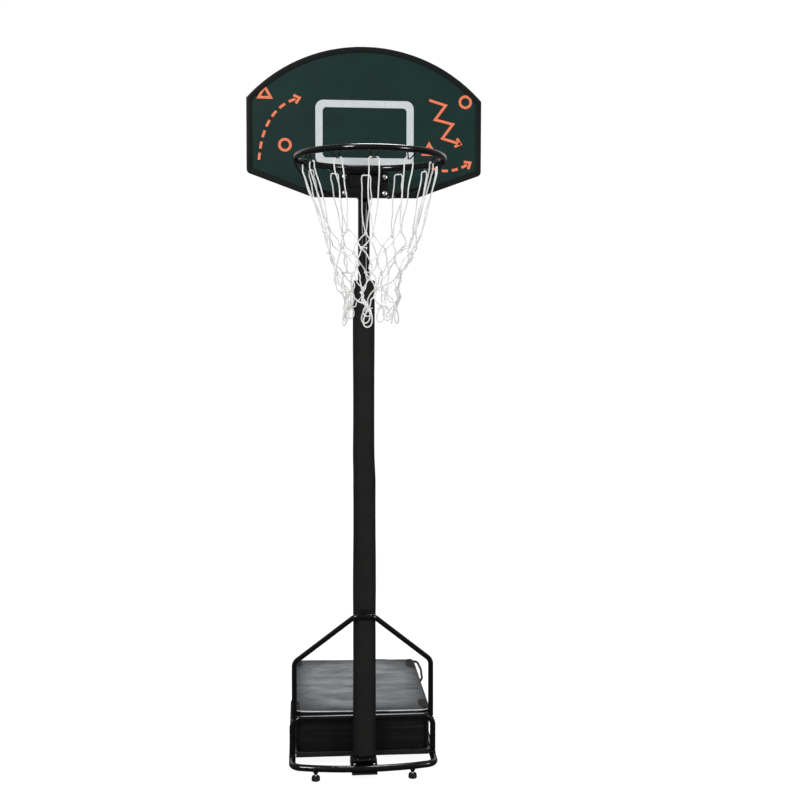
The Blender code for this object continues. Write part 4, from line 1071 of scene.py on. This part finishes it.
# %% The sleeve's finish
# Polyester cloth with a black coating: matt, with a 2 mm plain weave that follows the UV map, dull
# where hands rub it and slightly grey with dust.
def weave(tree):
    """The height of a plain weave: the higher of two waves, square to each other."""
    place = add_node(tree, "UVMap", uv_map="metres")
    threads = [add_node(tree, "TexWave",
                        {"Vector": place, "Scale": 150.0, "Distortion": 0.6, "Detail": 1.0},
                        bands_direction=way).outputs["Fac"] for way in "XY"]
    return add_node(tree, "Math", dict(enumerate(threads)), operation="MAXIMUM")


sleeve_cloth = surface("coated black polyester cloth", ["#191918", "#1e1e1d", (60, 0.0, 1.0, 5.0)],
                       (30, 0.62, 0.78, 4.0), 0.15, weave, 0.30, 0.0003)
print("sleeve uses", sleeve_cloth.name)


# %% The sleeve
def smoothstep(value):
    """0 below 0, 1 above 1, and 3v² − 2v³ between."""
    value = np.clip(value, 0.0, 1.0)
    return value * value * (3 - 2 * value)


SLEEVE_LOW, SLEEVE_HIGH = 0.0640, 1.5540
BORE = 0.0243
BACK_RADIUS = 0.035          # turns angles into distances round the sleeve's back
SEWN_AT = 0.0090             # each line of stitches is this far from the middle of the back
chance = np.random.default_rng(11)
coarse = np.arange(SLEEVE_LOW + 0.014, SLEEVE_HIGH - 0.012, 0.005)
fine = np.concatenate([np.arange(low, high, 0.0018) for low, high in
                       ((STAY_Z - 0.040, STAY_Z + 0.040), (1.466, 1.514))])
ends = np.array([0.0, 0.0008, 0.002, 0.004, 0.007, 0.010, 0.0112, 0.0124])
height = np.unique(np.concatenate([SLEEVE_LOW + ends, coarse, fine, SLEEVE_HIGH - ends]).round(4))
angle = circle(144)
z, a = np.meshgrid(height, angle, indexing="ij")
girths = mm((64, 35.6), (440, 35.8), (480, 35.4), (560, 36.0), (600, 36.1), (650, 35.7),
            (710, 35.4), (760, 34.9), (860, 34.9), (920, 35.3), (1010, 34.1), (1120, 33.2),
            (1200, 33.0), (1350, 33.6), (1554, 33.7))
radius = np.interp(z, *girths.T)
for wave in range(9):
    turns, rise, start = chance.integers(1, 5), chance.uniform(3, 26), chance.uniform(0, 6.28)
    radius = radius + 0.00013 * np.sin(turns * a + rise * z + start)
from_stay = np.abs(z - STAY_Z)
gather = np.exp(-(from_stay / 0.028) ** 2) * (0.5 + 0.5 * np.sin(a) ** 2)
radius = radius + 0.00045 * gather * np.sin(17 * a + 40 * (z - STAY_Z) + 2 * np.sin(3 * a))
edge = np.minimum(z - SLEEVE_LOW, SLEEVE_HIGH - z)
hem = smoothstep((0.0118 - edge) / 0.0008)
stitched = np.exp(-((edge - 0.0100) / 0.0009) ** 2)
radius = radius + 0.0006 * hem - 0.0004 * stitched
radius = radius - 0.0028 * (1 - np.sqrt(np.clip(edge / 0.004, 0, 1)))
off_back = np.abs(a - np.pi / 2) * BACK_RADIUS
flap = smoothstep((0.0115 - off_back) / 0.0010)
radius = radius + 0.0011 * flap - 0.0005 * np.exp(-((off_back - SEWN_AT) / 0.0008) ** 2)
drift = 0.0024 * smoothstep((1.03 - z) / 0.10)
x = radius * np.cos(a) + drift
y = radius * np.sin(a) * 0.985
front_limit = -0.0284 - 0.0080 * smoothstep((from_stay - 0.0088) / 0.020)
y = np.maximum(y, np.where(from_stay < 0.030, front_limit, -1.0))
back_limit = np.where((z > 0.150) & (z < 0.184), 0.0348, 1.0)
y = np.minimum(y, back_limit)
dimple = np.hypot(x, z - STAY_Z)
y = np.where(y > 0, np.minimum(y, 0.0283 + 0.0080 * smoothstep((dimple - 0.0062) / 0.016)), y)
seat = np.hypot(x, z - KNOB_Z)
y = np.where(y > 0, np.minimum(y, 0.0326 + 0.0050 * smoothstep((seat - 0.0155) / 0.012)), y)
top_wave = 0.0010 * np.sin(2 * a + 1.0) + 0.0006 * np.sin(5 * a)
z = z + top_wave * smoothstep((z - (SLEEVE_HIGH - 0.030)) / 0.030)
skin = np.stack([x, y, z], -1)
bore = BORE * flat(a[[-1, 0]]) + z[[-1, 0], :, None] * UP
CLOTH = (sleeve_cloth, "sleeve_cloth")
sleeve = piece("sleeve_cover", [(np.concatenate([skin, bore]) + POLE, True, True)], CLOTH, "base",
               ["pole_sleeve"], 50)
print("sleeve has", len(sleeve.data.polygons), "faces")

# %% The sleeve's screw hole, its eyelet and the flap's stitches
drill = bpy.data.meshes.new("drill")
shape = bmesh.new()
behind = Matrix.Translation((0.0, POLE[1] + 0.033, KNOB_Z)) @ Matrix.Rotation(math.pi / 2, 4, "X")
bmesh.ops.create_cone(shape, cap_ends=True, segments=48, radius1=0.0105, radius2=0.0105,
                      depth=0.030, matrix=behind)
shape.to_mesh(drill)
shape.free()
cutter = linked("drill", drill)
bpy.context.view_layer.update()
modified(sleeve, "BOOLEAN", operation="DIFFERENCE", object=cutter, solver="EXACT")
bpy.data.objects.remove(cutter)
eyelet = mm((10.1, 31.8), (10.1, 33.0), (10.4, 33.7), (11.2, 34.1), (13.0, 33.9), (14.4, 33.3),
            (14.9, 32.7), (14.6, 32.2), (11.2, 31.8))
turned_piece("sleeve_eyelet", eyelet, screw_at, "Y", ZINC, "base", (), 48, True)
stitch_z = np.concatenate([np.arange(low, high, 0.0085) for low, high in
                           ((0.082, STAY_Z - 0.020), (STAY_Z + 0.020, 1.468), (1.512, 1.542))])
reach = np.linspace(-0.0024, 0.0024, 5)
row_of = np.searchsorted(height, stitch_z[:, None] + reach).clip(0, len(height) - 1)
thread = []
for side in (-1, 1):
    column = int(np.argmin(np.abs(angle - (np.pi / 2 + side * SEWN_AT / BACK_RADIUS))))
    routes = skin[row_of, column] + POLE
    routes[..., 2] = stitch_z[:, None] + reach
    routes[..., 1] += 0.0005 * np.sin(np.linspace(0, np.pi, 5)) - 0.0001
    thread += [rod(stitch, 0.00042, 6, BACK) for stitch in routes]
piece("sleeve_stitches", thread, CLOTH, "base")
print("flap has", len(thread), "stitches")

# %% [markdown]
# ## The sand bag
# The bag is a box of black coated cloth, its top sewn to the sides along a piped seam, and the top's
# grey is a painted sheen. The top was cut longer than the seam that holds it, so it creases from side
# to side and puckers where it is sewn.
# The creases are ridges of noise: a smooth random field is 0 along winding lines, so 1 − |field| is
# a sharp ridge along them. The lines are drawn out from side to side, and fan out from the left.

# %% The bag's finishes
def tarpaulin(name, dark, pale, rough, gloss, edge_gloss, crumpled):
    """PVC coated cloth: two tints in soft patches, the 1.2 mm grid of the scrim under the coating,
    and fine crumples of 11 mm, drawn out from side to side. Near its edges it is dull, and dark with
    painted shade, by the product x · (1 − x) · y · (1 − y), which is 0 along all four."""
    made, tree = new_finish(name)
    plan = add_node(tree, "TexCoord").outputs["Generated"]
    rest = add_node(tree, "VectorMath", {0: (1, 1, 1), 1: plan}, operation="SUBTRACT")
    product = add_node(tree, "VectorMath", {0: plan, 1: rest}, operation="MULTIPLY")
    apart = add_node(tree, "SeparateXYZ", {0: product})
    inside = add_node(tree, "Math", dict(enumerate(apart.outputs[:2])), operation="MULTIPLY")
    edge = {"Value": inside, "From Min": 0.004, "From Max": 0.030}
    shine = gloss
    if edge_gloss != gloss:
        shine = add_node(tree, "MapRange", edge | {"To Min": edge_gloss, "To Max": gloss})
    drift = patches(tree, 45, 0.0, 1.0, 6.0, (0.35, 1, 1)).outputs[0]
    middle = add_node(tree, "MapRange", edge | {"To Max": drift})
    # Towards the edges the tint falls to its dark colour: painted shade.
    tint = add_node(tree, "Mix", {0: middle, 6: linear(dark), 7: linear(pale)}, data_type="RGBA")
    scrim = add_node(tree, "Bump", {"Height": patches(tree, 1.2, 0.0, 1.0), "Strength": 0.10,
                                    "Distance": 0.0003})
    folds = patches(tree, 11, 0.0, 1.0, 3.0, (0.3, 1.0, 1.0))
    crumple = add_node(tree, "Bump", {"Height": folds, "Strength": crumpled, "Distance": 0.0012,
                                      "Normal": scrim})
    shader = add_node(tree, "BsdfPrincipled",
                      {"Base Color": tint.outputs[2], "Roughness": patches(tree, 26, *rough, 4.0),
                       "Specular IOR Level": shine, "Normal": crumple})
    add_node(tree, "OutputMaterial", {"Surface": shader})
    return made


# The top's grey paints the sheen of the black cloth: a painted reflection.
painted_sheen_vinyl = tarpaulin("PVC tarpaulin with painted sheen", "#303336", "#7c8084", (0.36, 0.48), 0.55, 0.15, 0.60)
black_vinyl = tarpaulin("black PVC tarpaulin", "#121312", "#151615", (0.34, 0.48), 0.3, 0.3, 0.25)
# The pale piping paints the highlight along the bag's front edge.
piping_highlight_vinyl = tarpaulin("PVC piping with painted highlight", "#c6c8ca", "#d6d8da", (0.20, 0.30), 0.5, 0.5, 0.05)
print("bag uses", painted_sheen_vinyl.name, "and", black_vinyl.name)

# %% The bag's plan and its creases
BAG_HALF, BAG_FRONT, BAG_REAR = 0.2180, 0.0605, 0.6310
BAG_FLOOR, BAG_SEAM = 0.0526, 0.1805
BAG_MIDDLE, BAG_DEEP = (BAG_FRONT + BAG_REAR) / 2, (BAG_REAR - BAG_FRONT) / 2


def rounded_plan(u, v):
    """A square drawn in to the superellipse |u|^18 + |v|^18 = 1, each point along its own ray."""
    power = (np.abs(u) ** 18 + np.abs(v) ** 18) ** (1 / 18)
    reach = np.maximum(np.abs(u), np.abs(v)) / np.maximum(power, 1e-9)
    return u * reach, v * reach


def seam_height(plan_u):
    """The seam's height: 2.5 mm up on the left, 2.5 mm down on the right, with a 1.5 mm dip."""
    return BAG_SEAM - 0.0025 * plan_u - 0.0015 * (1 - plan_u ** 2)


def field(x, y, seed, size=96):
    """A smooth random field: random values at whole numbers, blended by 3t² − 2t³ between them."""
    values = np.random.default_rng(seed).uniform(-1, 1, (size, size))
    i, j = np.floor(x).astype(int), np.floor(y).astype(int)
    s, t = smoothstep(x - i), smoothstep(y - j)
    near, far = (values[k % size, j % size] * (1 - t) + values[k % size, (j + 1) % size] * t
                 for k in (i, i + 1))
    return near * (1 - s) + far * s


def creases(x, y):
    """Height of the creases. They run along rays from a point off the front left corner, on each of
    which (y − 0.02) / (x + 0.36) is constant, bent by a slow field. Three sizes of ridge are added,
    and short puckers stand square to the two side seams."""
    ray = 0.35 * (y - 0.02) / (x + 0.36)
    share = 0.75 - 0.40 * smoothstep((x + 0.15) / 0.30)
    bent = ray * share + y * (1 - share) + 0.022 * field(x * 8 + 20, y * 7 + 20, 2)
    total = 0.0016 * field(x * 6 + 60, bent * 12 + 60, 3)
    sizes = ((3.0, 15, 0.0050), (6.0, 30, 0.0034), (14.0, 64, 0.0014))
    for size, (across, deep, tall) in enumerate(sizes):
        ridge = 1 - np.abs(field(x * across + 31, bent * deep + 17, 10 + size))
        share = smoothstep(0.55 + 0.9 * field(x * 7 + 5, y * 6 + 5, 20 + size))
        total = total + tall * share * (ridge ** 2.5 - 0.3)
    from_side = BAG_HALF - np.abs(x)
    pucker = 1 - np.abs(field(x * 9 + 40, y * 62 + 40, 30))
    return total + 0.0030 * np.exp(-from_side / 0.032) * (pucker ** 2 - 0.3)


def bulge(u, v):
    """The top's rise from its seam: 4.5 mm, times 1 − e^(−d / 12 mm) for the distance d to the nearer
    side, and again for the nearer of front and rear."""
    from_side, from_front = BAG_HALF * (1 - np.abs(u)), BAG_DEEP * (1 - np.abs(v))
    return 0.0045 * (1 - np.exp(-from_side / 0.012)) * (1 - np.exp(-from_front / 0.012))


plan = np.meshgrid(np.linspace(-BAG_HALF, BAG_HALF, 60), np.linspace(BAG_FRONT, BAG_REAR, 60))
print("creases rise up to", round(1000 * float(creases(*plan).max()), 1), "mm")

# %% The bag's shell
def bag_point(u, v, share):
    """A point of the shell: share runs from 0 at the floor to 1 at the seam, and is above 1 on the
    top. The sides swell by 0.9% · sin(pi · share)."""
    plan_u, plan_v = rounded_plan(u, v)
    side = np.clip(share, 0, 1)
    swell = 1 + 0.009 * np.sin(np.pi * side)
    x, y = BAG_HALF * plan_u * swell, BAG_MIDDLE + BAG_DEEP * plan_v * swell
    sewn = smoothstep((1 - np.maximum(np.abs(u), np.abs(v))) / 0.045)
    crown = (bulge(u, v) + creases(x, y) * sewn) * (share > 1)
    fold = field((x + y) * 5 + 50, side * 9 + 50, 40) * np.sin(np.pi * side) ** 0.7
    push = 0.0012 * (1 - np.abs(fold) * 2) * (share <= 1)
    x, y = x - push * plan_u, y + push * (np.abs(plan_v) > 0.9) * np.sign(-plan_v)
    z = BAG_FLOOR + side * (seam_height(plan_u) - BAG_FLOOR) + crown
    return np.stack([x, y, z], -1)


def second_finish(mesh, kind, chosen):
    """Give a mesh's second finish to the faces whose normal or centre is chosen."""
    value = np.empty(3 * len(mesh.polygons), dtype=np.float32)
    mesh.polygons.foreach_get(kind, value)
    mesh.polygons.foreach_set("material_index", chosen(value.reshape(-1, 3)).astype(np.int32))


u, v = np.meshgrid(np.linspace(-1, 1, 125), np.linspace(-1, 1, 165), indexing="ij")
ring_u, ring_v = (np.concatenate([w[:-1, 0], w[-1, :-1], w[:0:-1, -1], w[0, :0:-1]]) for w in (u, v))
top = bag_point(u, v, np.full_like(u, 2.0))
floor = bag_point(u, v, np.zeros_like(u))
wall = bag_point(*np.broadcast_arrays(ring_u, ring_v, np.linspace(0, 1, 41)[:, None]))
VINYL = (black_vinyl, "bag_vinyl")
shell = [(top + POLE, False, False), (wall + POLE, True, False), (floor + POLE, False, False)]
bag = piece("sand_bag", shell, VINYL, "base", ["weight_bag"], 60, False)
bag.data.materials.append(painted_sheen_vinyl)
# Faces that look up take the grey finish, a sheen painted on the top.
second_finish(bag.data, "normal", lambda normal: normal[:, 2] > 0.5)
print("bag has", len(bag.data.polygons), "faces, and its top is at", top[..., 2].max().round(4), "m")

# %% Piping with its painted highlight, painted corner shade and the handle
ring = bag_point(ring_u, ring_v, np.ones_like(ring_u))
piping_path = ring + [0.0, 0.0, 0.0006] + POLE
piping = piece("bag_piping", [rod(piping_path, 0.0021, 10, UP, True)], VINYL, "base")
piping.data.materials.append(piping_highlight_vinyl)
# Only the front run takes the pale finish: a painted highlight.
second_finish(piping.data, "center", lambda centre: centre[:, 1] < POLE[1] + BAG_FRONT + 0.012)
# Dark matt sheets on the top's four corners: painted shade.
corner_shade_grids = []
s, t = np.meshgrid(np.linspace(0, 1, 13), np.linspace(0, 1, 33), indexing="ij")
for sign_x, low_y, high_y, width in ((-1, 0.545, 0.618, 0.020), (1, 0.520, 0.618, 0.030),
                                     (-1, 0.074, 0.150, 0.014), (1, 0.074, 0.165, 0.028)):
    lean = width * (1 - 0.45 * np.abs(2 * t - 1) ** 3)
    x = sign_x * (BAG_HALF - 0.004 - s * lean)
    y = low_y + t * (high_y - low_y)
    u_top, v_top = x / BAG_HALF, (y - BAG_MIDDLE) / BAG_DEEP
    sewn = smoothstep((1 - np.abs(u_top)) / 0.045)
    z = seam_height(u_top) + bulge(u_top, v_top) + creases(x, y) * sewn
    inner = (s > 0) & (s < 1) & (t > 0) & (t < 1)
    lower = np.stack([x, y, z + 0.0002], -1)
    upper = lower + 0.0012 * inner[..., None] * UP
    corner_shade_grids.append((np.concatenate([upper, lower[::-1]]) + POLE, False, True))
piece("bag_corner_shade", corner_shade_grids, (sleeve_cloth, "bag_vinyl"), "base")
handle = route([[0.200, 0.612, 0.1800], [0.230, 0.600, 0.1780], [0.2385, 0.552, 0.1650],
                [0.2365, 0.490, 0.1520], [0.2195, 0.446, 0.1420]], [0.014, 0.03, 0.03], 8, 0.004)
piece("bag_handle", [rod(handle, 0.0042, 16, UP)], VINYL, "base")
print("piping is", round(float(lengths(piping_path)[-1]), 2), "m long")
